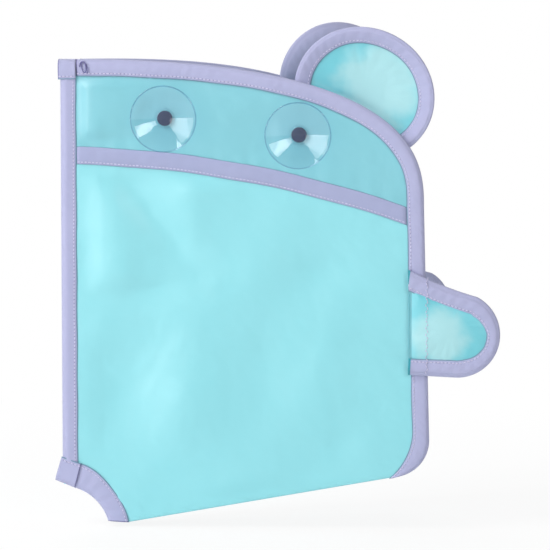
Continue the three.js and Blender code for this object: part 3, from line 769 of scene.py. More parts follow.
# Lengths of the painted shade in the colour of cloth and tape
CREVICE_START, CREVICE_END = 0.0021, 0.0030  # shade past a turned-in edge
CRACK_DARK, CRACK_END = 0.0005, 0.0011  # shade beside a tape's selvage
HOLE_DARK, HOLE_END, HOLE_SHADE = 0.0002, 0.0009, 0.45  # a needle hole's half width, and its strength
CUT_DARK, CUT_END = 0.0004, 0.0011  # shade at a tape's cut start
TURN_DARK, TURN_END = 0.0008, 0.0014  # shade at the start of a tape that is turned in
LAST_END, LAST_DARK = 0.0020, 0.0012  # the same before its end
LIP_START, LIP_END = 0.0012, 0.0004  # a cup's lip, in from its rim
GLOSS_MOST = 0.3  # share of the light that a cup throws back at a slant
STUD_GRAIN = (0.6, 0.6, 0.6)  # share of the stud's colour in its grain


def coated(nodes, deep, pale, thin, foot=None):
    """Coated polyester: a fine plain weave under a glossy coating with faint crumples. Thin is where
    its colour is pale: uneven on the panels, a painted highlight on the flaps. UV is the flat cut, and
    a foot is where a turned-in edge lies, past which painted shade darkens the cloth."""
    at = nodes.surface()
    weave = nodes.math("MULTIPLY", nodes.bands(at, CLOTH_YARN, "X"), nodes.bands(at, CLOTH_YARN, "Y"))
    mottle = nodes.noise(at, scale=260.0)
    tone = nodes.mix(thin, deep, pale)
    yarn_and_painted_light = nodes.mix(nodes.remap(weave, low=0.0, high=0.10), tone, deep)
    # Painted shade past the turned-in edge
    if foot is not None:
        out, _ = nodes.split(at)
        shade = nodes.ease(out, foot + CREVICE_END, foot + CREVICE_START, high=0.95)
        yarn_and_painted_light = nodes.mix(shade, yarn_and_painted_light, sizes().finish.painted_crevice_shade)
    crumple = nodes.bump(nodes.noise(at, scale=42.0, detail=1.6), distance=0.0040, strength=0.35)
    swell = nodes.bump(mottle, distance=0.00012, strength=0.25, under=crumple)
    nodes.set(
        Base_Color=yarn_and_painted_light,
        Roughness=nodes.remap(mottle, low=0.42, high=0.54),
        IOR=2.0,
        Normal=nodes.bump(weave, distance=0.00003, strength=0.35, under=swell),
        Sheen_Weight=0.10,
        Sheen_Roughness=0.4,
        Specular_IOR_Level=0.62,
    )
    return nodes.material


def aqua_cloth(name="aqua_coated_cloth", tint=PLAIN):
    """Cloth of the panels, slightly uneven in colour."""
    finish = sizes().finish
    nodes = Nodes(name)
    thin = nodes.remap(nodes.noise(nodes.surface(), scale=22.0, detail=3.0), low=0.1, high=0.9)
    return coated(nodes, tinted(finish.aqua, tint), tinted(finish.aqua_pale, tint), thin)


def flap_cloth(name, highlight_at, reach, foot=None):
    """Cloth of a padded flap, with a painted highlight round a place in its flat cut."""
    finish = sizes().finish
    nodes = Nodes(name)
    at = nodes.surface()
    away = nodes.distance(at, (*highlight_at, 0))
    ragged = CLOUD_SPREAD * reach
    cloud = nodes.remap(nodes.noise(at, scale=70.0), low=-ragged, high=ragged)
    # Share of the painted highlight, eased out from its middle
    thin = nodes.ease(nodes.math("ADD", away, cloud), reach, HIGHLIGHT_SPREAD * reach)
    return coated(nodes, finish.flap, finish.flap_painted_highlight, thin, foot)


def lilac_tape(name="lilac_woven_tape", tint=PLAIN, sewn=True, last=None):
    """Woven binding tape: ribs across its length with a painted highlight on the raised yarns, slightly
    uneven dye, and painted shade under its selvage, at the needle holes, at its cut start and at
    turned-in ends. UV runs along the tape and in from its nearest edge. Last is where a tape ends
    that is turned in at both ends."""
    finish, tape = sizes().finish, sizes().tape
    deep, pale = tinted(finish.lilac, tint), tinted(finish.lilac_pale, tint)
    nodes = Nodes(name)
    at = nodes.surface()
    ribs = nodes.math("MULTIPLY", nodes.bands(at, TAPE_RIB, "X"), RIB_SHARE)
    warp = nodes.math("MULTIPLY", nodes.bands(at, TAPE_WARP, "Y"), WARP_SHARE)
    weave = nodes.math("ADD", ribs, warp)
    dye = nodes.noise(at, scale=45.0, detail=3.0)
    fuzz = nodes.noise(at, scale=1500.0)
    tone = nodes.mix(nodes.remap(dye, low=0.0, high=0.8), deep, pale)
    # Raised yarns made paler: a painted highlight on the ribs
    yarn_and_painted_light = nodes.mix(nodes.remap(weave, low=0.0, high=0.25), tone, pale)
    along, inward = nodes.split(at)
    if sewn:
        # Painted shade at the needle holes and at the cut start
        turn = nodes.math("MULTIPLY", along, 2 * math.pi / tape.stitch_pitch)
        beside = nodes.math("ABSOLUTE", nodes.math("SUBTRACT", inward, tape.stitch_inset))
        between = nodes.ease(nodes.math("COSINE", turn), start=0.1, end=0.9)
        painted_hole_shade = nodes.math("MULTIPLY", nodes.ease(beside, HOLE_END, HOLE_DARK), between)
        yarn_and_painted_light = nodes.mix(nodes.math("MULTIPLY", painted_hole_shade, HOLE_SHADE), yarn_and_painted_light, finish.painted_hole_shade)
        yarn_and_painted_light = nodes.mix(nodes.ease(along, CUT_END, CUT_DARK), yarn_and_painted_light, finish.painted_hole_shade)
    # Painted shadow along the selvage
    selvage_painted_shade = nodes.ease(inward, CRACK_END, CRACK_DARK, high=0.78)
    yarn_and_painted_light = nodes.mix(selvage_painted_shade, yarn_and_painted_light, finish.selvage_painted_shade)
    # Painted shade at both turned-in ends
    if last is not None:
        first_turn = nodes.ease(along, TURN_END, TURN_DARK)
        last_turn = nodes.ease(along, last - LAST_END, last - LAST_DARK)
        turned_end_shade = nodes.math("MAXIMUM", first_turn, last_turn)
        yarn_and_painted_light = nodes.mix(turned_end_shade, yarn_and_painted_light, finish.painted_crevice_shade)
    nap = nodes.bump(fuzz, distance=0.00004, strength=0.5)
    nodes.set(
        Base_Color=yarn_and_painted_light,
        Roughness=nodes.remap(fuzz, low=0.70, high=0.88),
        Normal=nodes.bump(weave, distance=0.00006, strength=0.6, under=nap),
        Sheen_Weight=0.25,
        Sheen_Roughness=0.5,
        Specular_IOR_Level=0.25,
    )
    return nodes.material


def sewing_thread(name="pale_sewing_thread", tint=PLAIN):
    """Twisted polyester thread."""
    finish = sizes().finish
    deep, pale = tinted(finish.thread, tint), tinted(finish.lilac_pale, tint)
    nodes = Nodes(name)
    twist = nodes.bands(nodes.surface(), THREAD_TWIST, "DIAGONAL")
    nodes.set(
        Base_Color=nodes.mix(twist, deep, pale),
        Roughness=0.55,
        Normal=nodes.bump(twist, distance=0.00004, strength=0.6),
        Sheen_Weight=0.2,
    )
    return nodes.material


def clear_vinyl():
    """Clear soft vinyl as a thin skin: see-through, deeper in colour at a slant and at the lip, with
    faint moulding swirls and a gloss that grows at a slant. UV runs out from the cup's axis."""
    finish = sizes().finish
    nodes = Nodes("clear_soft_vinyl")
    swirl = nodes.noise(nodes.position(), scale=90.0)
    relief = nodes.bump(swirl, distance=0.0004, strength=0.06)
    slant = nodes.add("ShaderNodeLayerWeight", {"Blend": 0.25}).outputs["Facing"]
    tint = nodes.mix(nodes.math("POWER", slant, 2.0), finish.vinyl, finish.vinyl_edge)
    out, _ = nodes.split(nodes.surface())
    rim = cup_place(CUP_NAMES[0])[1]
    tint = nodes.mix(nodes.ease(out, rim - LIP_START, rim - LIP_END), tint, finish.vinyl_lip)
    shade = nodes.add("ShaderNodeLightPath").outputs["Is Shadow Ray"]
    tint = nodes.mix(shade, tint, finish.vinyl_shade)
    through = nodes.add("ShaderNodeBsdfTransparent", {"Color": tint})
    sheen = {"Roughness": nodes.remap(swirl, low=0.03, high=0.06), "Normal": relief}
    gloss = nodes.add("ShaderNodeBsdfGlossy", sheen)
    mirror = nodes.add("ShaderNodeFresnel", {"IOR": 1.5, "Normal": relief}).outputs[0]
    mirror = nodes.math("MINIMUM", mirror, GLOSS_MOST)
    mirror = nodes.math("MULTIPLY", mirror, nodes.math("SUBTRACT", 1.0, shade))
    nodes.tree.nodes.remove(nodes.shader)
    nodes.show(nodes.blend(mirror, through, gloss))
    return nodes.material


def violet_stud():
    """Dark moulded plastic with a satin skin."""
    finish = sizes().finish
    nodes = Nodes("dark_violet_plastic")
    grain = nodes.noise(nodes.position(), scale=900.0, detail=3.0)
    deep = tinted(finish.stud, STUD_GRAIN)
    nodes.set(
        Base_Color=nodes.mix(grain, finish.stud, deep),
        Roughness=nodes.remap(grain, low=0.32, high=0.45),
        Normal=nodes.bump(grain, distance=0.00003, strength=0.4),
    )
    return nodes.material


GLOW_AT = (0.15, 0.05, TOP_Z)  # the paper's own light is least round this place
GLOW_NEAR, GLOW_FAR, GLOW_LEAST = 0.38, 0.75, 0.89


def studio_paper():
    """White paper that keeps the object's shadow: part of its light is its own, so that it looks
    white to the camera and in reflections."""
    nodes = Nodes("studio_paper")
    path = nodes.add("ShaderNodeLightPath").outputs
    seen = nodes.math("MAXIMUM", path["Is Camera Ray"], path["Is Glossy Ray"])
    seen = nodes.math("MAXIMUM", seen, path["Is Transmission Ray"])
    fibre = nodes.noise(nodes.position(), scale=40.0)
    nodes.set(
        Base_Color=sizes().finish.paper,
        Roughness=nodes.remap(fibre, low=0.85, high=0.95),
        Specular_IOR_Level=0.0,
    )
    glow = nodes.add("ShaderNodeEmission", {"Color": PLAIN, "Strength": 1.0})
    away = nodes.distance(nodes.position(), GLOW_AT)
    spread = nodes.ease(away, GLOW_NEAR, GLOW_FAR, low=GLOW_LEAST)
    nodes.show(nodes.blend(nodes.math("MULTIPLY", seen, spread), nodes.shader, glow))
    return nodes.material


# Painted highlight on the cloth of the flaps: its middle from the ear's centre, or from the foot of
# the arm's base, and how far it reaches
EAR_HIGHLIGHT, EAR_HIGHLIGHT_REACH = np.array([0.012, 0.006]), 0.040
ARM_HIGHLIGHT, ARM_HIGHLIGHT_REACH = np.array([0.022, 0.028]), 0.027


def ear_cloth():
    """Cloth of the ears, with a painted highlight."""
    return flap_cloth("aqua_ear_cloth", ear_frame()[0] + EAR_HIGHLIGHT, EAR_HIGHLIGHT_REACH)


def arm_cloth():
    """Cloth of the arms, with a painted highlight, and painted shade past the turned-in edge at their base.
    """
    foot = np.array([arm_base(), sizes().flap.arm_low])
    return flap_cloth("aqua_arm_cloth", foot + ARM_HIGHLIGHT, ARM_HIGHLIGHT_REACH, arm_base())


MAKERS = {
    "aqua_cloth": aqua_cloth,
    "header_cloth": lambda: aqua_cloth("aqua_single_cloth", sizes().finish.single),
    "ear_cloth": ear_cloth,
    "arm_cloth": arm_cloth,
    "lilac_tape": lilac_tape,
    "arm_tape": lambda: lilac_tape("lilac_arm_tape", last=arm_run(0).along[-1]),
    # The band's tape: a darker copy of the lilac tape, as painted shade
    "band_tape": lambda: lilac_tape("lilac_band_tape", sizes().finish.band, sewn=False),
    "thread": sewing_thread,
    "loose_thread": lambda: sewing_thread("violet_loose_thread", sizes().finish.loose),
    "clear_vinyl": clear_vinyl,
    "violet_stud": violet_stud,
}
made_materials = {}


def finish_of(name):
    """A finish by its name, made once."""
    if name not in made_materials:
        made_materials[name] = MAKERS[name]()
    return made_materials[name]


# Tape folded over an edge

# Relief of a tape: shares of its width, lengths along it that turn a wave by a radian, and depths
CROWN_SKEW, CROWN_POWER = 0.62, 0.9
WRINKLE_RUN, WRINKLE_SLANT = 0.0013, 3
DRIFT_RUN, DRIFT = 0.012, 1.6
SLOW_RUN, SLOW_SHARE, SLOW_LAG = 0.019, 0.25, 1.3
DIP_WIDTH, DIP_DEPTH, TUG_DEPTH = 0.08, 0.00010, 0.00012
SELVAGE_START, SELVAGE_DROP = 0.88, 0.00022
STEP_START, STEP_WIDTH = 0.42, 0.2
PRESS_WIDTH = 0.15
WOBBLE_RUN, WOBBLE = 0.0075, 0.012
LEG_POINTS, BEND_POINTS = 13, 9  # mesh across each face and round the spine

# Where the waves of each tape start, so that no two look alike
PHASES = {
    "edge": 0.4, "notch": 1.3, "mouth": 2.2, "seam": 0.7, "top": 1.9, "foot": 2.7, "ear": 3.1, "arm": 4.2
}
PLAIN_WRINKLE, FLAP_WRINKLE, NOTCH_WRINKLE = 0.00010, 0.00016, 0.00018  # heights


def stitch_tug(run):
    """1 where a stitch ends and 0 at its middle: half of (1 + cosine)."""
    return 0.5 + 0.5 * np.cos(2 * np.pi * run / sizes().tape.stitch_pitch)


class TapeRun:
    """A tape folded over an edge. Its spine follows the outer line and its two edges the inner line,
    point by point. Low and high are its faces towards the wall and the tub, turn is the share of its
    width that the spine's round takes, and lean moves both faces by a function of (out of the seam,
    up). Step is how far a face drops where the cloth inside ends. Seated names the faces that are
    pressed flat beside the seam, and where that starts and stops to ease off."""

    def __init__(
        self, outer, inner, faces, turn=0.12, lean=None, phase=0.0, wrinkle=PLAIN_WRINKLE, step=0.0,
        seated=(),
    ):
        run = lengths_along((outer + inner) / 2, 0)
        self.along = np.linspace(0, run[-1], max(8, int(run[-1] / sizes().tape.spacing)))
        self.outer = on_line(self.along, run, outer)
        self.inner = on_line(self.along, run, inner)
        self.low, self.high = faces
        self.turn, self.lean, self.phase = turn, lean, phase
        self.wrinkle, self.step = wrinkle, step
        self.seated = dict(seated)
        self.width = float(np.linalg.norm(self.inner - self.outer, axis=1).mean())

    @property
    def stitch_line(self):
        """Share of the width at which the stitches run."""
        return 1 - sizes().tape.stitch_inset / self.width

    def swelling(self, across):
        """How far a face stands off its plain height: a sine crown, slanting wrinkles, and dips that
        the stitches draw in."""
        inside = np.clip((across - self.turn) / (1 - self.turn), 0, 1)
        crown = np.sin(np.pi * inside**CROWN_SKEW) ** CROWN_POWER
        run = self.along[:, None]
        drift = DRIFT * np.sin(run / DRIFT_RUN + self.phase)
        slant = run / WRINKLE_RUN + WRINKLE_SLANT * across + drift + self.phase
        slow = SLOW_SHARE * np.sin(run / SLOW_RUN + SLOW_LAG * self.phase)
        dip = bell((across - self.stitch_line) / DIP_WIDTH) * (DIP_DEPTH + TUG_DEPTH * stitch_tug(run))
        selvage = SELVAGE_DROP * smooth((across - SELVAGE_START) / (1 - SELVAGE_START))
        edge = selvage + self.step * smooth((across - STEP_START) / STEP_WIDTH)
        puff = sizes().tape.puff * crown * (1 + slow)
        return puff + self.wrinkle * crown * np.sin(slant) - dip - edge

    def stand(self, across, face):
        """How far a face stands off the tape's middle."""
        swell = self.swelling(across)
        if face in self.seated:
            start, end = self.seated[face]
            free = smooth((self.outer[:, :1] - start) / (end - start))
            pressed = sizes().tape.press * smooth((across - self.turn) / PRESS_WIDTH)
            swell = swell * free - pressed * (1 - free)
        return (self.high - self.low) / 2 + swell

    def points(self, across, height):
        """Panel coordinates at shares of the width and heights through the tape."""
        wobble = 1 + WOBBLE * np.sin(self.along / WOBBLE_RUN + self.phase)
        reach = across * np.where(across > self.turn, wobble[:, None], 1.0)
        flat = self.outer[:, None] + (self.inner - self.outer)[:, None] * reach[..., None]
        if self.lean is not None:
            height = height + self.lean(flat[..., 0], flat[..., 1])
        return join(flat[..., 0], height, flat[..., 1])

    def face_points(self, across, face):
        """Points on the tape's wall face or tub face, a row for each step along it."""
        across = np.broadcast_to(np.asarray(across, float), (len(self.along), np.size(across)))
        return self.points(across, (self.high + self.low) / 2 + face * self.stand(across, face))

    def surface(self):
        """The whole tape: wall face from its inner edge, half an ellipse round the spine, tub face."""
        leg = self.turn + (1 - self.turn) * (1 - np.cos(np.linspace(0, np.pi, LEG_POINTS))) / 2
        bend = np.linspace(-np.pi / 2, np.pi / 2, BEND_POINTS)[1:-1]
        across = np.broadcast_to(self.turn * (1 - np.cos(bend)), (len(self.along), len(bend)))
        half, mid = (self.high - self.low) / 2, (self.high + self.low) / 2
        spine = self.points(across, np.broadcast_to(mid + half * np.sin(bend), across.shape))
        grid = [self.face_points(leg[::-1], WALL), spine, self.face_points(leg, TUB)]
        return np.concatenate(grid, axis=1)

    def turns_left(self):
        """Whether the inner line lies to the left of the way that the tape runs."""
        way = np.diff(self.outer, axis=0)
        inward = (self.inner - self.outer)[:-1]
        return float((way[:, 0] * inward[:, 1] - way[:, 1] * inward[:, 0]).sum()) > 0


# Rings of one stitch: shares of its half length, and of the thread's radius in thickness and lift
STITCH_STATIONS = np.array([-1.0, -0.55, 0.55, 1.0])
STITCH_THICKNESS = np.array([0.45, 1.0, 1.0, 0.45])
STITCH_LIFT = np.array([-0.5, 0.55, 0.55, -0.5])
STITCH_SIDES = 6
THREAD_UV = 0.0002  # UV across a thread for each radian round it


def stitches(name, line, normal, side):
    """A run of stitches: short threads along a line, each a six-sided spindle whose middle stands out
    of the cloth and whose ends dive into it."""
    tape = sizes().tape
    run = lengths_along(line, 0)
    half = tape.stitch_length / 2
    centres_at = np.arange(tape.stitch_pitch / 2, run[-1] - half, tape.stitch_pitch)
    centre = on_line(centres_at, run, line)
    way = unit(on_line(centres_at + half, run, line) - on_line(centres_at - half, run, line))
    up = np.broadcast_to(normal, way.shape)
    aside = np.cross(way, up)
    station = STITCH_STATIONS * half
    thick = STITCH_THICKNESS[:, None] * tape.thread_radius
    lift = STITCH_LIFT[:, None] * tape.thread_radius
    ring = np.arange(STITCH_SIDES) * 2 * np.pi / STITCH_SIDES
    points = (
        centre[:, None, None]
        + way[:, None, None] * station[:, None, None]
        + up[:, None, None] * (lift + thick * np.sin(ring))[..., None]
        + aside[:, None, None] * (thick * np.cos(ring))[..., None]
    )
    rings, flip = len(station), side == "right"
    first = rings * STITCH_SIDES * np.arange(len(centre))[:, None, None]
    quads = grid_faces(rings, STITCH_SIDES, wrap=True, flip=flip) + first
    rim = np.arange(STITCH_SIDES)
    caps = np.stack([rim[::-1], rim + (rings - 1) * STITCH_SIDES])
    caps = (caps[:, ::-1] if flip else caps) + first
    faces = quads.reshape(-1, 4).tolist() + caps.reshape(-1, STITCH_SIDES).tolist()
    uv = join(station[:, None] + centres_at[:, None, None], ring * THREAD_UV)
    return new_object(name, place(points, side), faces, uv, finish_of("thread"))


def tape_piece(name, grid, along, side, flip, finish):
    """A tape's surface with its thickness. UV runs along the tape and in from its nearest edge. Gives
    the piece and the distances across the tape."""
    across = lengths_along(grid, 1)
    uv = join(along, np.minimum(across, across[:, -1:] - across))
    made = grid_object(f"{name}_tape", place(grid, side), uv, finish_of(finish), flip)
    thicken(made, sizes().tape.thickness, -1)
    return made, across


def bind(side, name, body, run, kind="binding", blend=None, finish="lilac_tape"):
    """A bound edge: the folded tape with its thickness, and a row of stitches on each face. It stands
    for the CAD node of its name and kind."""
    prefix = f"{side}_{name}" if side else name
    hand = side or "left"
    grid = run.surface()
    flip = run.turns_left() != (hand == "right")
    made, across = tape_piece(prefix, grid, run.along[:, None], hand, flip, finish)
    sewn = []
    for face, word in FACE_WORDS.items():
        line = run.face_points([run.stitch_line], face)[:, 0]
        sewn.append(stitches(f"{prefix}_{word}_stitches", line, (0, face, 0), hand))
    attach(made, body, [f"{prefix}_{kind}"], blend)
    for piece in sewn:
        attach(piece, body, blend=blend)


# Cloth panels

COLUMNS = 150
WALL_ROWS = 110
HEADER_ROWS = 60
FOLD_ROWS = 7
EVEN_SHARE = 0.6  # of the columns' spacing; the rest closes up towards both ends


def cloth_columns(side):
    """Distances out of the seam for the columns of a half's cloth, closer together at both ends."""
    cloth = sizes().cloth
    start = cloth.raw_inset if side == "left" else cloth.seam_tuck
    end = shoulder_size()[0] - cloth.raw_inset
    even = np.linspace(0, 1, COLUMNS)
    eased = EVEN_SHARE * even + (1 - EVEN_SHARE) * (1 - np.cos(np.pi * even)) / 2
    return (start + (end - start) * eased)[:, None]


def header_grid(side):
    """Header cloth: columns from under the band to the raw edge inside the top tape, with the back
    wall's relief."""
    cloth = sizes().cloth
    x = cloth_columns(side)
    wide, rise, foot = shoulder_size()
    power, inset = cloth.shoulder_power, cloth.raw_inset
    top = foot + (rise - inset) * np.maximum(1 - (x / (wide - inset)) ** power, 0) ** (1 / power)
    low = band_top(x) - cloth.band_width / 2
    z = low + (top - low) * np.linspace(0, 1, HEADER_ROWS)
    x = np.broadcast_to(x, z.shape)
    return join(x, -wall_relief(x, z, side), z)


def pocket_grid(side):
    """Pocket cloth: each column runs down the back wall, round half a circle at the hem, and up the
    front to the mouth. The front keeps clear of the back wall's folds."""
    cloth = sizes().cloth
    x = cloth_columns(side)
    radius = cloth.pocket_gap / 2
    low = hem(x, cloth.raw_inset) + cloth.thickness / 2 + radius
    high = band_top(x) - cloth.band_width / 2
    mouth = mouth_top(x) - cloth.raw_inset
    down = np.linspace(0, 1, WALL_ROWS)
    back_z = high + (low - high) * down
    wide_x = np.broadcast_to(x, back_z.shape)
    back_y = -wall_relief(wide_x, back_z, side) * smooth((back_z - low) / HEM_MARGIN)
    turn = np.linspace(0, np.pi, FOLD_ROWS + 2)[1:-1]
    fold_z = low - radius * np.sin(turn)
    fold_y = np.broadcast_to(radius * (1 - np.cos(turn)), fold_z.shape)
    front_z = low + (mouth - low) * down
    settle = smooth((front_z - low) / HEM_MARGIN)
    waves = FRONT_SWELL * slow_waves(wide_x, front_z, FRONT_PHASE)
    front_y = cloth.pocket_gap + pocket_swell(wide_x, front_z)
    front_y = front_y + settle * bound_share(wide_x, front_z, FOLD_MARGIN) * waves
    wall_y = -wall_relief(wide_x, front_z, side) * settle
    front_y = np.maximum(front_y, wall_y + 2 * cloth.thickness)
    z = np.concatenate([back_z, fold_z, front_z], axis=1)
    return join(x, np.concatenate([back_y, fold_y, front_y], axis=1), z)


def add_cloth(side, name, grid, node, finish):
    """One sheet of a half. The right half's sheet turns across a strip at the corner seam and rides
    on no body.
    """
    mirrored = side == "right"
    run = lengths_along(grid, 1)
    uv = join(grid[..., 0], run)
    made = grid_object(f"{side}_{name}", place(grid, side, mirrored), uv, finish_of(finish), mirrored)
    thicken(made, sizes().cloth.thickness, 0)
    start, end = seam_strip()
    strip = ("left_half", "right_half", (start, HINGE[1], 0), (end, HINGE[1], 0))
    if mirrored:
        attach(made, None, [node], strip)
    else:
        attach(made, "left_half", [node])


class ORGANIZER_OT_cloth(Operator):
    """Header cloth and pocket cloth of both halves"""

    bl_idname = "organizer.cloth"
    bl_label = "Cloth Panels"

    def execute(self, context):
        for side in SIDES:
            header, pocket = f"{side}_header_panel", f"{side}_pocket_sheet"
            add_cloth(side, "header_cloth", header_grid(side), header, "header_cloth")
            add_cloth(side, "pocket_cloth", pocket_grid(side), pocket, "aqua_cloth")
        return {"FINISHED"}


# Bound edges of a half

SPREAD_START, SPREAD_EASE = 0.6, 0.7  # angles round the notch over which its tape spreads
HINGE_GAP = 0.0002  # from the corner hinge to the right half's tapes
NOTCH_TUCK = 0.0033  # end of the left notch tape under the wrapped foot
MOUTH_STAND, MOUTH_GAP = 0.0009, 0.0003  # mouth tape off the cloth, and from the side tape
PRESS_END, FREE_END = 0.014, 0.028  # lengths from a tape's start at which pressed faces ease off

# Section of the band: powers of its superellipse, shares of its width, heights, and lengths along
# it that turn a wave by a radian
BAND_ACROSS, BAND_UP, BAND_POINTS = 0.45, 0.55, 25
BAND_DIP_WIDTH, BAND_TUG_DEPTH = 0.09, 0.00014
BAND_SWELL, BAND_SWELL_RUN = 0.00014, 0.017
BAND_WRINKLE, BAND_WRINKLE_RUN, BAND_SLANT = 0.00010, 0.0017, 4
BAND_SNAKE, BAND_SNAKE_RUN = 0.00025, 0.011
BAND_CROWN, CROWN_MARGIN, CROWN_EASE = 0.0004, 0.03, 0.3
BAND_END, BAND_END_EASE = 0.35, 0.0025  # share of its height that is left at its ends, and a length


def edge_run(start):
    """Tape along top, shoulder, side and lower corner. Its inner edge turns the corner on a wider
    arc of its own and runs out at the fold."""
    cloth, tape = sizes().cloth, sizes().tape
    centre = corner_centre()
    slope = cloth.fold_slope
    inner_out = cloth.half_width - tape.edge_width - tape.turn_radius
    inner_up = centre[1] + tape.turn_lead
    over_fold = inner_up * math.cos(slope) - inner_out * math.sin(slope)
    inner_end = slope - np.pi / 2 + math.acos(over_fold / tape.turn_radius)
    outer_top, inner_top = shoulder_line(start, 0), shoulder_line(start, tape.edge_width)
    outer_corner = arc(centre, cloth.corner_radius, 0, slope - np.pi / 2)
    inner_corner = arc((inner_out, inner_up), tape.turn_radius, 0, inner_end)
    return bridged(outer_top, outer_corner), bridged(inner_top, inner_corner)


def notch_run(start):
    """Tape along the round cut at the foot of the seam, wider towards the seam."""
    cloth, tape = sizes().cloth, sizes().tape
    cut, inner = cloth.notch_radius, cloth.notch_radius + tape.notch_width
    slope = cloth.fold_slope
    turn = np.linspace(slope, math.acos(start / inner), FINE)
    spread = inner + tape.notch_spread * smooth((turn - SPREAD_START) / SPREAD_EASE)
    wide = join(spread * np.cos(turn), spread * np.sin(turn))
    return arc((0, 0), cut, slope + tape.notch_cut, math.acos(start / cut)), wide


def mouth_run(start):
    """Tape along the pocket's mouth."""
    tape = sizes().tape
    x = np.linspace(start, shoulder_size()[0] - tape.edge_width - MOUTH_GAP, FINE)
    top = mouth_top(x)
    return join(x, top), join(x, top - tape.mouth_width)


def band_stitch_line():
    """Share of the band's width at which its stitches run."""
    return 1 - sizes().tape.stitch_inset / sizes().cloth.band_width


def band_grid(start):
    """Folded band over the seam of header and pocket: a flat superellipse as its section, carried
    along the band's arc and pressed down at both ends, where other tapes cover it."""
    cloth, tape = sizes().cloth, sizes().tape
    face, base = layer("left_seam_band")
    end = shoulder_size()[0] - tape.edge_width
    x = np.linspace(start, end, int((end - start) / tape.spacing))[:, None]
    turn = np.linspace(0, np.pi, BAND_POINTS)
    across = 0.5 - 0.5 * np.sign(np.cos(turn)) * np.abs(np.cos(turn)) ** BAND_ACROSS
    full = np.sin(turn) ** BAND_UP
    dip = bell((across - band_stitch_line()) / BAND_DIP_WIDTH)
    dip = dip * (DIP_DEPTH + BAND_TUG_DEPTH * stitch_tug(x))
    wrinkle = np.sin(x / BAND_WRINKLE_RUN + BAND_SLANT * across) * BAND_WRINKLE
    waves = np.sin(x / BAND_SWELL_RUN) * BAND_SWELL + wrinkle
    height = (base - face) * full + (waves * full - dip) * full
    inside = smooth((across - CROWN_MARGIN) / CROWN_EASE) * smooth((1 - CROWN_MARGIN - across) / CROWN_EASE)
    free = smooth((x - start) / BAND_END_EASE) * smooth((end - x) / BAND_END_EASE)
    height = (height + BAND_CROWN * inside) * (BAND_END + (1 - BAND_END) * free)
    z = band_top(x) - cloth.band_width * across + BAND_SNAKE * np.sin(x / BAND_SNAKE_RUN)
    return join(x, -cloth.thickness / 2 - height, z)


def add_band(side, start, body):
    """The band and the row of stitches near its lower edge."""
    grid = band_grid(start)
    made, across = tape_piece(f"{side}_band", grid, grid[..., 0], side, side == "left", "band_tape")
    line_up = band_top(start) - band_stitch_line() * sizes().cloth.band_width
    nearest = int(np.argmin(np.abs(grid[0, :, 2] - line_up)))
    sewn = stitches(f"{side}_band_stitches", grid[:, nearest], (0, WALL, 0), side)
    attach(made, body, [f"{side}_seam_band"])
    attach(sewn, body)


def tape_start(side):
    """Where a half's tapes start, out of the seam."""
    if side == "left":
        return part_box("left_edge_binding")[0].x
    return HINGE[0] + HINGE_GAP


class ORGANIZER_OT_bound_edges(Operator):
    """Edge tape, notch tape, mouth tape and band of both halves, with their stitches"""

    bl_idname = "organizer.bound_edges"
    bl_label = "Bound Edges"

    def execute(self, context):
        cloth = sizes().cloth
        faces = layer("left_edge_binding")
        mouth_wall = cloth.pocket_gap - cloth.thickness / 2 - MOUTH_STAND
        mouth_faces = (mouth_wall, 2 * cloth.pocket_gap - mouth_wall)
        for number, side in enumerate(SIDES):
            body, start = f"{side}_half", tape_start(side)
            closing = {TUB: (start, start + PRESS_END)}
            both = {**closing, WALL: (start + PRESS_END, start + FREE_END)}
            edge = TapeRun(
                *edge_run(start), faces, phase=PHASES["edge"] + number,
                seated=closing if side == "left" else both,
            )
            bind(side, "edge", body, edge)
            notch = TapeRun(
                *notch_run(start - NOTCH_TUCK if side == "left" else start), faces,
                phase=PHASES["notch"] + number, wrinkle=NOTCH_WRINKLE, seated=closing,
            )
            bind(side, "notch", body, notch)
            mouth = TapeRun(
                *mouth_run(max(start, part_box("left_mouth_binding")[0].x)), mouth_faces,
                lean=pocket_swell, phase=PHASES["mouth"] + number, seated=closing,
            )
            bind(side, "mouth", body, mouth)
            add_band(side, start, body)
        return {"FINISHED"}


# Corner seam

SEAM_FOOT = 0.0035  # start of the seam tape above its wrapped foot
SEAM_STEP = 0.0004  # drop of its face where the cloth inside ends

# Ends of the wrap over the seam's foot, beside the notch tape and at its flare
FOOT_SLANT = 0.0025
FOOT_SINK, FOOT_SHORT = 0.0018, 0.0052
FLARE_INSET, FLARE_LIFT = 0.0010, 0.0003

# Loose end of thread: its foot from the seam tape and the top, its loops, and its taper
TAIL_OUT, TAIL_DOWN = 0.0062, 0.0092
TAIL_TURNS, TAIL_LEAN = 3.4 * np.pi, 0.8
TAIL_WIDE, TAIL_TALL, TAIL_MIDDLE = 0.0020, 0.0040, 0.0036
TAIL_DRIFT, TAIL_STAND, TAIL_ROLL = 0.0026, 0.0008, 0.0003
TAIL_THICK, TAIL_THIN = 1.2, 0.4
TAIL_LENGTH = 0.036
TAIL_POINTS, TAIL_SIDES = 120, 8


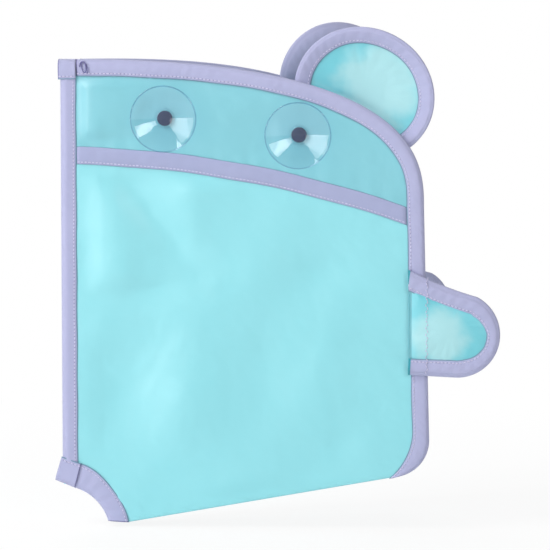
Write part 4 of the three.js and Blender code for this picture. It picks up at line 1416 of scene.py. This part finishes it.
def thread_tail():
    """A loose end of thread: a tube of round section along an upright ellipse, traced nearly twice
    while it drifts sideways and off the tape."""
    tape, cloth = sizes().tape, sizes().cloth
    t = np.linspace(0, 1, TAIL_POINTS)[:, None]
    turn = TAIL_TURNS * t
    face = layer("left_edge_binding")[0] - tape.puff - tape.thread_radius
    foot = np.array([tape.seam_width + TAIL_OUT, face, cloth.half_height - TAIL_DOWN])
    out = -TAIL_WIDE * np.cos(turn) + TAIL_DRIFT * (t - 0.5)
    off = -TAIL_STAND * t - TAIL_ROLL * np.sin(turn) ** 2
    up = TAIL_MIDDLE + TAIL_TALL * np.sin(turn + TAIL_LEAN * t)
    line = foot + np.concatenate([out, off, up], axis=1)
    way = unit(np.gradient(line, axis=0))
    aside = unit(np.cross(way, (0, 1, 0)))
    above = np.cross(aside, way)
    ring = np.arange(TAIL_SIDES) * 2 * np.pi / TAIL_SIDES
    thick = tape.thread_radius * (TAIL_THICK - TAIL_THIN * t)
    spread = aside[:, None] * np.cos(ring)[:, None] + above[:, None] * np.sin(ring)[:, None]
    points = line[:, None] + spread * thick[:, None]
    rim = np.arange(TAIL_SIDES)
    last = TAIL_SIDES * TAIL_POINTS - 1
    faces = grid_faces(TAIL_POINTS, TAIL_SIDES, wrap=True, flip=True).tolist()
    faces += [rim.tolist(), (last - rim).tolist()]
    uv = join(t * TAIL_LENGTH, ring * THREAD_UV)
    return new_object("loose_thread_end", place(points, "left"), faces, uv, finish_of("loose_thread"))


class ORGANIZER_OT_corner_seam(Operator):
    """Tape along the corner seam, the wraps over its two ends and a loose end of thread"""

    bl_idname = "organizer.corner_seam"
    bl_label = "Corner Seam"

    def execute(self, context):
        cloth, tape = sizes().cloth, sizes().tape
        base = TOP_Z - cloth.half_height
        low, high = (corner.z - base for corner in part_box("corner_seam_binding"))
        low += SEAM_FOOT
        wide = tape.seam_width
        seam = TapeRun(
            straight((0, low), (0, high)), straight((wide, low), (wide, high)),
            layer("corner_seam_binding"), turn=0.22, phase=PHASES["seam"], step=SEAM_STEP,
        )
        bind("", "corner_seam", "left_half", seam)
        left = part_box("seam_top_tab")[0].x
        top, under = cloth.half_height, cloth.half_height - tape.top_tab
        cap = TapeRun(
            straight((left, top), (wide, top)), straight((left, under), (wide, under)),
            layer("seam_top_tab"), turn=0.16, phase=PHASES["top"], seated={TUB: (wide, 2 * wide)},
        )
        bind("", "seam_top", "left_half", cap, "tab")
        cut = cloth.notch_radius
        tip = (-tape.bottom_flare, cut + tape.bottom_rise)
        upper = cut + tape.bottom_tab
        flare = (left + FLARE_INSET, upper + FLARE_LIFT)
        foot = TapeRun(
            straight((wide - FOOT_SLANT, cut - FOOT_SINK), tip),
            straight((wide + FOOT_SLANT, upper - FOOT_SHORT), flare),
            layer("seam_bottom_tab"), turn=0.16, phase=PHASES["foot"],
        )
        bind("", "seam_bottom", "left_half", foot, "tab")
        attach(thread_tail(), "left_half")
        return {"FINISHED"}


# Padded ears and arms

PAD_CELLS = 44
SETTLE_FRAMES = 16
PUCKERS, PUCKER_WANDER, WANDERS = 19, 2, 3  # round a pad, and how they crowd together
PUCKER_EDGE, CROWN_EDGE = 0.3, 0.4  # shares of the way in from the tape at which both are full
BOWL_POWER, BOWL_EASE = 2.2, 0.012  # of an ear's bowl, and the length over which it levels out
EDGE_SMOOTHING = 21  # points of an arm's edge over which its direction is averaged
LEAST = 1e-9  # keeps a division from zero
EAR_SPREAD = 0.0025  # added to the tape's width on the right ear
BEND_NEAR, BEND_FAR = 0.004, 0.006  # an arm's cloth that bends before and after its joint

# Stitches that hold an arm: in from its joint, up and down from its ends, their waver and depth,
# and how near a point counts as lying under them
SEWN_INSET, SEWN_LOW, SEWN_HIGH = 0.0012, 0.001, 0.005
WAVER, SEWN_SINK, SKIN_REACH = 0.0006, 0.0001, 0.0015

# Share of the arm tape's width at shares of its way round the arm
ARM_TAPE = ((0, 0.18, 0.36, 0.50, 0.58, 0.74, 1), (1.30, 1.30, 1.30, 0.92, 0.95, 1.22, 1.18))


def ear_frame():
    """Centre of an ear and its upward direction, which is the shoulder's normal."""
    flap = sizes().flap
    wide = shoulder_size()[0]
    power = sizes().cloth.shoulder_power
    across = np.array((wide - flap.ear_setback) / wide)
    up = (1 - across**power) ** (1 / power)
    return shoulder_point(across, -flap.ear_lift), shoulder_normal(across, up)


def ear_arc(radius):
    """Edge of an ear at a radius: an ellipse, clockwise from one end of its base to the other."""
    flap = sizes().flap
    centre, up = ear_frame()
    dip = math.asin(flap.ear_drop / radius)
    round_edge = arc((0, 0), radius, np.pi + dip, -dip)
    along = round_edge[:, :1] * (1 + flap.ear_stretch / radius)
    return centre + along * (up[1], -up[0]) + round_edge[:, 1:] * up


def ear_bowl(x, z):
    """How far an ear is dished towards the tub: (1 - r^2.2) of its radius, level again at its base."""
    flap = sizes().flap
    centre, up = ear_frame()
    out, rise = x - centre[0], z - centre[1]
    along = (out * up[1] - rise * up[0]) / (1 + flap.ear_stretch / flap.ear_radius)
    upward = out * up[0] + rise * up[1]
    reach = np.minimum(np.hypot(along, upward) / flap.ear_radius, 1)
    return flap.ear_hollow * (1 - reach**BOWL_POWER) * smooth((upward + flap.ear_drop) / BOWL_EASE)


def ear_dish(flat, inside):
    """An ear's pad lies in the ear's bowl."""
    return ear_bowl(flat[..., 0], flat[..., 1])


def arm_dish(flat, inside):
    """An arm's pad swells on its wall side by (1 - s^3)."""
    return -sizes().flap.arm_swell * (1 - inside**3)


def arm_base():
    """Distance of the arm's base out of the seam, just past the side tape's inner edge."""
    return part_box("left_arm_panel")[0].x - sizes().flap.arm_cover


def arm_edge():
    """Edge of an arm, clockwise from the upper end of its base: a sagging parabola, the round tip
    and a straight lower edge, spaced evenly."""
    flap = sizes().flap
    base = arm_base()
    tip = np.array([base + flap.arm_tip_out, flap.arm_low - flap.arm_tip_sink + flap.arm_tip_radius])
    tip_round = arc(tip, flap.arm_tip_radius, flap.arm_tip_sweep, -np.pi / 2)
    start, end = np.array([base, flap.arm_low + flap.arm_tall]), tip_round[0]
    upper = bow(start, (start + end) / 2 - (0, 2 * flap.arm_top_dip), end, count=FINE // 2)
    lower = straight(tip_round[-1], (base, flap.arm_low))
    line = np.concatenate([upper[:-1], tip_round, lower[1:]])
    run = lengths_along(line, 0)
    return on_line(np.linspace(0, run[-1], FINE), run, line)


def averaged(values):
    """Running average of a row of values, which keeps its length."""
    padded = np.pad(values, EDGE_SMOOTHING // 2, "edge")
    return np.convolve(padded, np.ones(EDGE_SMOOTHING) / EDGE_SMOOTHING, "valid")


def drawn_in(line, inset):
    """The arm's edge moved to its right, by the same or by one for each point, and squared off at
    its base."""
    way = unit(join(*(averaged(column) for column in np.gradient(line, axis=0).T)))
    moved = line + np.reshape(inset, (-1, 1)) * join(way[:, 1], -way[:, 0])
    return join(np.maximum(moved[:, 0], line[0, 0]), moved[:, 1])


def arm_tape_widths():
    """Width of the arm's tape at even places round the arm."""
    return sizes().tape.arm_width * np.interp(np.linspace(0, 1, FINE), *ARM_TAPE)


def arm_run(number):
    """Tape round an arm of the half with that number."""
    edge = arm_edge()
    return TapeRun(
        edge, drawn_in(edge, arm_tape_widths()), layer("left_arm_binding"),
        turn=0.2, phase=PHASES["arm"] + number, wrinkle=FLAP_WRINKLE,
    )


def disc_shares(cells):
    """Concentric map of a square grid onto a disc: rings of the square become circles. Gives each
    point's share of the radius and its angle."""
    even = np.linspace(-1, 1, cells + 1)
    x, y = np.meshgrid(even, even, indexing="ij")
    steep = np.abs(y) > np.abs(x)
    with np.errstate(divide="ignore", invalid="ignore"):
        turn = np.where(steep, np.pi / 2 - np.pi / 4 * (x / y), np.pi / 4 * (y / x))
    reach = np.where(steep, y, x)
    turn = np.nan_to_num(turn)
    return np.abs(reach), np.arctan2(reach * np.sin(turn), reach * np.cos(turn))


def spokes(border, centre, way):
    """Distance from a centre to a border at angles round it. The border's ends are joined."""
    spoke = np.concatenate([border, straight(border[-1], border[0])[1:-1]]) - centre
    turn = np.arctan2(spoke[:, 1], spoke[:, 0])
    order = np.argsort(turn)
    return np.interp(way, turn[order], np.hypot(*spoke.T)[order], period=2 * np.pi)


def pad_shape(border, taped, faces, dish):
    """A pad as two layers that share their edge: the disc map stretched to the border, an edge of
    (1 - r^8) and a crown of (1 - s^4), moved by a dish of (flat places, s) and puckered by sines. r
    and s are shares of the way to the border and to the taped line. Gives points, faces, flat places
    and s."""
    flap = sizes().flap
    centre = (border.min(axis=0) + border.max(axis=0)) / 2
    reach, way = disc_shares(PAD_CELLS)
    radius = spokes(border, centre, way)
    flat = centre + (reach * radius)[..., None] * join(np.cos(way), np.sin(way))
    inside = np.minimum(reach * radius / spokes(taped, centre, way), 1)
    beside_tape = inside**2 * smooth((1 - inside) / PUCKER_EDGE)
    crowded = PUCKER_WANDER * np.sin(WANDERS * way)
    puckers = flap.pucker * np.sin(PUCKERS * way + crowded) * beside_tape
    mid = (faces[0] + faces[1]) / 2 + dish(flat, inside) + puckers
    half = flap.pad_edge * (1 - reach**8) + flap.pad_crown * (1 - inside**4)
    count = PAD_CELLS + 1
    rim = np.zeros((count, count), bool)
    rim[[0, -1]] = rim[:, [0, -1]] = True
    front = np.arange(count * count).reshape(count, count)
    back = front.copy()
    back[~rim] = count * count + np.arange((~rim).sum())
    quads = np.concatenate([squares(front), squares(back)[:, ::-1]])
    wall, tub = (join(flat[..., 0], mid + face * half, flat[..., 1]) for face in (WALL, TUB))
    points = np.concatenate([wall.reshape(-1, 3), tub[~rim]])
    uv = np.concatenate([flat.reshape(-1, 2), flat[~rim]])
    return points, quads, uv, np.concatenate([inside.ravel(), inside[~rim]])


def fill_pad(points, quads, inside):
    """Blows a pad up with a cloth simulation: what lies in the tape is held, the cloth is drawn
    taut, and a point moves no further than the crown's height, less beside the tape."""
    flap = sizes().flap
    mesh = bpy.data.meshes.new("pad_trial")
    mesh.from_pydata(points.tolist(), [], quads.tolist())
    trial = bpy.data.objects.new("pad_trial", mesh)
    scene = bpy.context.scene
    scene.collection.objects.link(trial)
    held = trial.vertex_groups.new(name="held")
    held.add(np.flatnonzero(inside >= 1).tolist(), 1.0, "REPLACE")
    cloth = trial.modifiers.new("filling", "CLOTH")
    cloth.point_cache.frame_end = SETTLE_FRAMES
    cloth.settings.quality = 6
    cloth.settings.mass = 0.1
    cloth.settings.bending_stiffness = 0.2
    cloth.settings.vertex_group_mass = "held"
    cloth.settings.shrink_min = flap.draw
    cloth.settings.use_pressure = True
    cloth.settings.uniform_pressure_force = flap.pressure
    cloth.settings.effector_weights.gravity = 0
    cloth.collision_settings.use_collision = False
    for number in range(1, SETTLE_FRAMES + 1):
        scene.frame_set(number)
    shown = trial.evaluated_get(bpy.context.evaluated_depsgraph_get())
    moved = np.empty(len(points) * 3, np.float32)
    shown.data.vertices.foreach_get("co", moved)
    scene.frame_set(1)
    bpy.data.objects.remove(trial)
    bpy.data.meshes.remove(mesh)
    shift = moved.reshape(-1, 3) - points
    size = np.linalg.norm(shift, axis=1, keepdims=True)
    if not np.isfinite(size).all():
        raise RuntimeError("the padding's simulation came apart")
    cap = flap.pad_crown * smooth((1 - inside) / CROWN_EDGE)[:, None] + LEAST
    return points + shift * cap * np.tanh(size / cap) / np.maximum(size, LEAST)


def add_pads(name, border, taped, faces, dish):
    """The same pad for both halves, filled once and mirrored. Gives the pads and the left one's
    points in panel coordinates."""
    points, quads, uv, inside = pad_shape(border, taped, faces, dish)
    points = fill_pad(points, quads, inside)
    made = {}
    for side in SIDES:
        corners = (quads if side == "left" else quads[:, ::-1]).tolist()
        cloth = finish_of(f"{name}_cloth")
        pad = new_object(f"{side}_{name}_pad", place(points, side), corners, uv, cloth)
        finer = pad.modifiers.new("smoothing", "SUBSURF")
        finer.levels = finer.render_levels = 1
        attach(pad, None, [f"{side}_{name}_panel"])
        made[side] = pad
    return made, points


class ORGANIZER_OT_ears(Operator):
    """Padded ears with their tape and stitches"""

    bl_idname = "organizer.ears"
    bl_label = "Ears"

    def execute(self, context):
        cloth, tape, flap = sizes().cloth, sizes().tape, sizes().flap
        faces = layer("left_ear_binding")
        rim = ear_arc(flap.ear_radius - cloth.raw_inset)
        taped = ear_arc(flap.ear_radius - tape.ear_width + tape.stitch_inset)
        pads, _ = add_pads("ear", rim, taped, faces, ear_dish)
        for number, side in enumerate(SIDES):
            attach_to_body(pads[side], f"{side}_ear")
            inner = flap.ear_radius - tape.ear_width - EAR_SPREAD * number
            run = TapeRun(
                ear_arc(flap.ear_radius), ear_arc(inner), faces,
                turn=0.18, lean=ear_bowl, phase=PHASES["ear"] + number, wrinkle=FLAP_WRINKLE,
            )
            bind(side, "ear", f"{side}_ear", run)
        return {"FINISHED"}


def bend_strip(side):
    """Bodies on both sides of an arm's joint, and where its cloth starts and ends bending."""
    pivot = Vector(joint_place(f"{side}_arm_bend"))
    turn = 0 if side == "left" else sizes().cloth.fold_open
    out = Vector((math.cos(turn), math.sin(turn), 0))
    return f"{side}_half", f"{side}_arm", pivot - out * BEND_NEAR, pivot + out * BEND_FAR


def lying_on(x, z, points):
    """Height of the wall-side skin of some points at places in the panel's plane: the least of those
    within reach."""
    points = points.reshape(-1, 3)
    away = np.hypot(points[:, 0] - x[:, None], points[:, 2] - z[:, None])
    return np.where(away < SKIN_REACH, points[:, 1], np.inf).min(axis=1)


def sewn_line(skins):
    """Wavering line of the stitches that hold an arm to the side, on top of some skins."""
    flap = sizes().flap
    foot = joint_place("left_arm_bend")[0] - SEWN_INSET
    low, high = flap.arm_low + SEWN_LOW, flap.arm_low + flap.arm_tall - SEWN_HIGH
    out, up = straight((foot, low), (foot, high)).T
    out = out + WAVER * np.sin(up / sizes().tape.stitch_pitch * np.pi)
    height = np.minimum(*(lying_on(out, up, skin) for skin in skins))
    return join(out, height - SEWN_SINK, up)


class ORGANIZER_OT_arms(Operator):
    """Padded arms with their tape, and the stitches that hold them to the side"""

    bl_idname = "organizer.arms"
    bl_label = "Arms"

    def execute(self, context):
        cloth, tape = sizes().cloth, sizes().tape
        faces = layer("left_arm_binding")
        edge = arm_edge()
        rim = drawn_in(edge, cloth.raw_inset)
        taped = drawn_in(edge, arm_tape_widths() - tape.stitch_inset)
        pads, shape = add_pads("arm", rim, taped, faces, arm_dish)
        for number, side in enumerate(SIDES):
            strip = bend_strip(side)
            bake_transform(pads[side])
            run = arm_run(number)
            bind(side, "arm", None, run, blend=strip, finish="arm_tape")
            line = sewn_line((run.surface(), shape))
            sewn = stitches(f"{side}_arm_base_stitches", line, (0, WALL, 0), side)
            attach(sewn, None, blend=strip)
        return {"FINISHED"}


# Suction cups

CUP_TURNS = 96
STUD_TURNS = 64
STUD_GAP = 0.0003  # between a stud and its socket
HEAD_HEIGHT = 0.0014  # of a stud
NECK_FOOT = 0.0016  # flat ring round the foot of a neck
NUDGE = 0.0001  # keeps a flat stretch of a profile from closing to nothing
BACK_LEAN, BACK_BOW = 0.62, 1.6  # share of the radius, and walls above the neck, where the back bows
BACK_INSET, LIP_SHARE = 0.0004, 0.8  # the back's end in from the rim, and the lip's share of the wall
KNEE_OUT, KNEE_UP, CONE_SHARE = 0.20, 0.0006, 0.9  # where the straight hollow turns to its bottom
DOME_OUT, DOME_LOW, DOME_HIGH = 0.6, 0.05, 0.45  # shares of a stud's head on its dome


def rounded(corners, radius):
    """A line through corners with each inner corner replaced by a small parabola."""
    corners = [np.array(point, float) for point in corners]
    parts = [corners[0][None]]
    for before, corner, after in zip(corners, corners[1:], corners[2:]):
        first, second = before - corner, after - corner
        reach = min(radius, np.hypot(*first) / 2, np.hypot(*second) / 2)
        start = corner + first / np.hypot(*first) * reach
        end = corner + second / np.hypot(*second) * reach
        parts.append(bow(start, corner, end, count=5))
    return np.concatenate([*parts, corners[-1][None]])


def fan(tip, rim):
    """Corners of the triangles from a tip to a closed rim."""
    return join(tip, rim, np.roll(rim, -1))


def turned(name, profile, centre, base, side, turns, material):
    """A profile of (radius, distance towards the wall) carried round an axis square to the panel.
    Ends on the axis close to a point."""
    spin = np.arange(turns) * 2 * np.pi / turns
    ring = profile[1:-1]
    x = centre[0] + ring[:, :1] * np.cos(spin)
    z = centre[1] + ring[:, :1] * np.sin(spin)
    tube = join(x, base - ring[:, 1:], z).reshape(-1, 3)
    tips = join(centre[0], base - profile[[0, -1], 1], centre[1])
    flip = side == "right"
    quads = grid_faces(len(ring), turns, wrap=True, flip=flip).tolist()
    count, rim = len(tube), np.arange(turns)
    caps = np.concatenate([fan(count, rim), fan(count + 1, count - turns + rim)[:, ::-1]])
    caps = caps[:, ::-1] if flip else caps
    points = np.concatenate([tube, tips])
    out = np.hypot(points[:, 0] - centre[0], points[:, 2] - centre[1])
    uv = join(out, points[:, 1])
    return new_object(name, place(points, side), quads + caps.tolist(), uv, material)


def cup_profile(radius, height):
    """Section of a cup from the bottom of its socket, out over neck and bowed back to the lip, and
    down the straight cone of its hollow to a round bottom."""
    cup = sizes().cup
    socket = cup.stud_radius + STUD_GAP
    neck = rounded(
        [(0, cup.socket_depth), (socket, cup.socket_depth), (socket, 0), (cup.neck_radius, 0),
         (cup.neck_radius, cup.neck_height),
         (cup.neck_radius + NECK_FOOT, cup.neck_height + NUDGE)],
        cup.fillet,
    )
    lean = (radius * BACK_LEAN, cup.neck_height + BACK_BOW * cup.wall)
    back = bow(neck[-1], lean, (radius - BACK_INSET, height - cup.wall), count=26)
    lip = rounded(
        [back[-1], (radius, height - cup.wall * LIP_SHARE), (radius, height - NUDGE),
         (radius - cup.rim_width, height)],
        cup.bead,
    )
    bottom = cup.socket_depth + cup.wall
    knee = np.array([radius * KNEE_OUT, bottom + KNEE_UP])
    cone = lip[-1] + (knee - lip[-1]) * np.linspace(0, CONE_SHARE, 14)[:, None]
    hollow = np.concatenate([cone[:-1], bow(cone[-1], knee, (0, bottom), count=16)])
    return np.concatenate([neck[:-1], back[:-1], lip[:-1], hollow])


def stud_profile(seat, tip):
    """Section of a stud from the middle of its domed head to the end of its pin."""
    cup = sizes().cup
    wide, tall = cup.stud_head, HEAD_HEIGHT
    back = seat - tall
    return rounded(
        [(0, back), (wide * DOME_OUT, back + tall * DOME_LOW), (wide, back + tall * DOME_HIGH),
         (wide, seat), (cup.stud_radius, seat), (cup.stud_radius, tip), (0, tip)],
        cup.fillet,
    )


class ORGANIZER_OT_suction_cups(Operator):
    """Clear suction cups and the dark studs that hold them"""

    bl_idname = "organizer.suction_cups"
    bl_label = "Suction Cups"

    def execute(self, context):
        for side in SIDES:
            for name in CUP_NAMES:
                prefix, body = f"{side}_{name}", f"{side}_{name}_suction"
                centre, radius = cup_place(name)
                rim, base = layer(f"left_{name}_cup")
                cup = turned(
                    f"{prefix}_cup_vinyl", cup_profile(radius, base - rim), centre, base, side,
                    CUP_TURNS, finish_of("clear_vinyl"),
                )
                attach(cup, body, [f"{prefix}_cup"])
                near, far = layer(f"left_{name}_stud")
                section = stud_profile(base - far + HEAD_HEIGHT, base - near)
                stud = turned(
                    f"{prefix}_stud_pin", section, centre, base, side,
                    STUD_TURNS, finish_of("violet_stud"),
                )
                attach(stud, body, [f"{prefix}_stud"])
        return {"FINISHED"}


# Studio

PAPER_BEND, PAPER_BEHIND, PAPER_FRONT, PAPER_WIDE, PAPER_TALL = 1.5, 4.5, 6.0, 6.0, 5.0
PAPER_UV = 0.1  # UV from row to row of the paper
SENSOR_WIDTH = 36.0  # of the camera, in millimetres
CLIP_NEAR, CLIP_FAR = 0.05, 50.0

Softbox = namedtuple("Softbox", "name azimuth elevation distance wide tall")

# Softboxes: degrees round the object and above the horizon, then metres
SOFTBOXES = (
    Softbox("left", -43, 12, 3.2, 1.50, 1.70),
    Softbox("right", 31, 19, 3.0, 0.82, 1.10),
    Softbox("high", -56, 46, 2.4, 1.0, 0.8),
    Softbox("back", 200, 28, 3.0, 1.6, 1.4),
)


def backdrop():
    """Seamless paper: flat floor, a quarter circle and an upright wall, carried sideways."""
    floor_z = cad_box[0].z - sizes().studio.clearance
    turn = np.linspace(0, np.pi / 2, 24)
    floor_y = np.linspace(-PAPER_FRONT, PAPER_BEHIND, 12)[:-1]
    bend_y, bend_z = PAPER_BEHIND + PAPER_BEND * np.sin(turn), PAPER_BEND * (1 - np.cos(turn))
    y = np.concatenate([floor_y, bend_y, [PAPER_BEHIND + PAPER_BEND]])
    z = np.concatenate([np.zeros(len(floor_y)), bend_z, [PAPER_TALL]]) + floor_z
    x = np.linspace(-PAPER_WIDE, PAPER_WIDE, 9)[:, None]
    uv = join(x, np.arange(len(y)) * PAPER_UV)
    grid_object("studio_paper", join(x, y, z), uv, studio_paper())


def aimed(name, data, aim, azimuth, elevation, distance):
    """A lamp or camera at an azimuth, elevation and distance from the point it looks at."""
    level = math.cos(elevation)
    back = Vector((math.sin(azimuth) * level, -math.cos(azimuth) * level, math.sin(elevation)))
    made = bpy.data.objects.new(name, data)
    bpy.context.scene.collection.objects.link(made)
    made.rotation_mode = "QUATERNION"
    made.location = aim + distance * back
    made.rotation_quaternion = (-back).to_track_quat("-Z", "Y")
    return made


def softbox(box, aim):
    """A rectangular lamp that faces the aim."""
    name = f"{box.name}_softbox"
    lamp = bpy.data.lights.new(name, "AREA")
    lamp.shape = "RECTANGLE"
    lamp.size, lamp.size_y = box.wide, box.tall
    lamp.energy = getattr(sizes().studio, f"{box.name}_power")
    aimed(name, lamp, aim, math.radians(box.azimuth), math.radians(box.elevation), box.distance)


def surroundings():
    """World light: white to the camera, softer on the object."""
    world = bpy.data.worlds.new("studio_light")
    bpy.context.scene.world = world
    world.use_nodes = True
    tree = world.node_tree
    path = tree.nodes.new("ShaderNodeLightPath")
    background = tree.nodes["Background"]
    background.inputs["Color"].default_value = (*PLAIN, 1.0)
    strength = tree.nodes.new("ShaderNodeMapRange")
    strength.inputs["To Min"].default_value = sizes().studio.ambient
    strength.inputs["To Max"].default_value = 1.0
    tree.links.new(path.outputs["Is Camera Ray"], strength.inputs["Value"])
    tree.links.new(strength.outputs["Result"], background.inputs["Strength"])


class ORGANIZER_OT_studio(Operator):
    """Floor, backdrop, soft light and camera"""

    bl_idname = "organizer.studio"
    bl_label = "Studio"

    def execute(self, context):
        studio = sizes().studio
        aim = Vector((studio.aim_out, PANEL_Y, studio.aim_up))
        backdrop()
        surroundings()
        for box in SOFTBOXES:
            softbox(box, aim)
        lens = bpy.data.cameras.new("photo_camera")
        lens.lens = studio.lens
        lens.sensor_width = SENSOR_WIDTH
        lens.clip_start, lens.clip_end = CLIP_NEAR, CLIP_FAR
        context.scene.camera = aimed(
            "photo_camera", lens, aim, studio.azimuth, studio.elevation, studio.distance
        )
        context.scene.view_settings.view_transform = "Standard"
        return {"FINISHED"}


class ORGANIZER_PT_looks(Panel):
    """Lists the pieces of the organizer and their sizes"""

    bl_idname = "ORGANIZER_PT_looks"
    bl_label = "Organizer Looks"
    bl_space_type = "VIEW_3D"
    bl_region_type = "UI"
    bl_category = "Organizer"

    def draw(self, context):
        column = self.layout.column()
        for operator in OPERATORS:
            column.operator(operator.bl_idname)
        for group in ("cloth", "tape", "flap", "cup", "finish", "studio"):
            column.label(text=group.title())
            values = getattr(context.scene.organizer, group)
            for name in values.bl_rna.properties.keys():
                if name not in {"rna_type", "name"}:
                    column.prop(values, name)


OPERATORS = (
    ORGANIZER_OT_cloth,
    ORGANIZER_OT_bound_edges,
    ORGANIZER_OT_corner_seam,
    ORGANIZER_OT_ears,
    ORGANIZER_OT_arms,
    ORGANIZER_OT_suction_cups,
    ORGANIZER_OT_studio,
)
GROUPS = (ClothSizes, TapeSizes, FlapSizes, CupSizes, Finishes, StudioSizes, OrganizerSizes)
CLASSES = (*GROUPS, *OPERATORS, ORGANIZER_PT_looks)


def register():
    """Makes the classes and the scene's sizes known to Blender."""
    for item in CLASSES:
        bpy.utils.register_class(item)
    bpy.types.Scene.organizer = PointerProperty(type=OrganizerSizes)


def unregister():
    """Takes them away again."""
    del bpy.types.Scene.organizer
    for item in reversed(CLASSES):
        bpy.utils.unregister_class(item)


def main():
    """Builds every piece in order."""
    register()
    bpy.ops.organizer.cloth()
    bpy.ops.organizer.bound_edges()
    bpy.ops.organizer.corner_seam()
    bpy.ops.organizer.ears()
    bpy.ops.organizer.arms()
    bpy.ops.organizer.suction_cups()
    bpy.ops.organizer.studio()


if __name__ == "__main__":
    main()
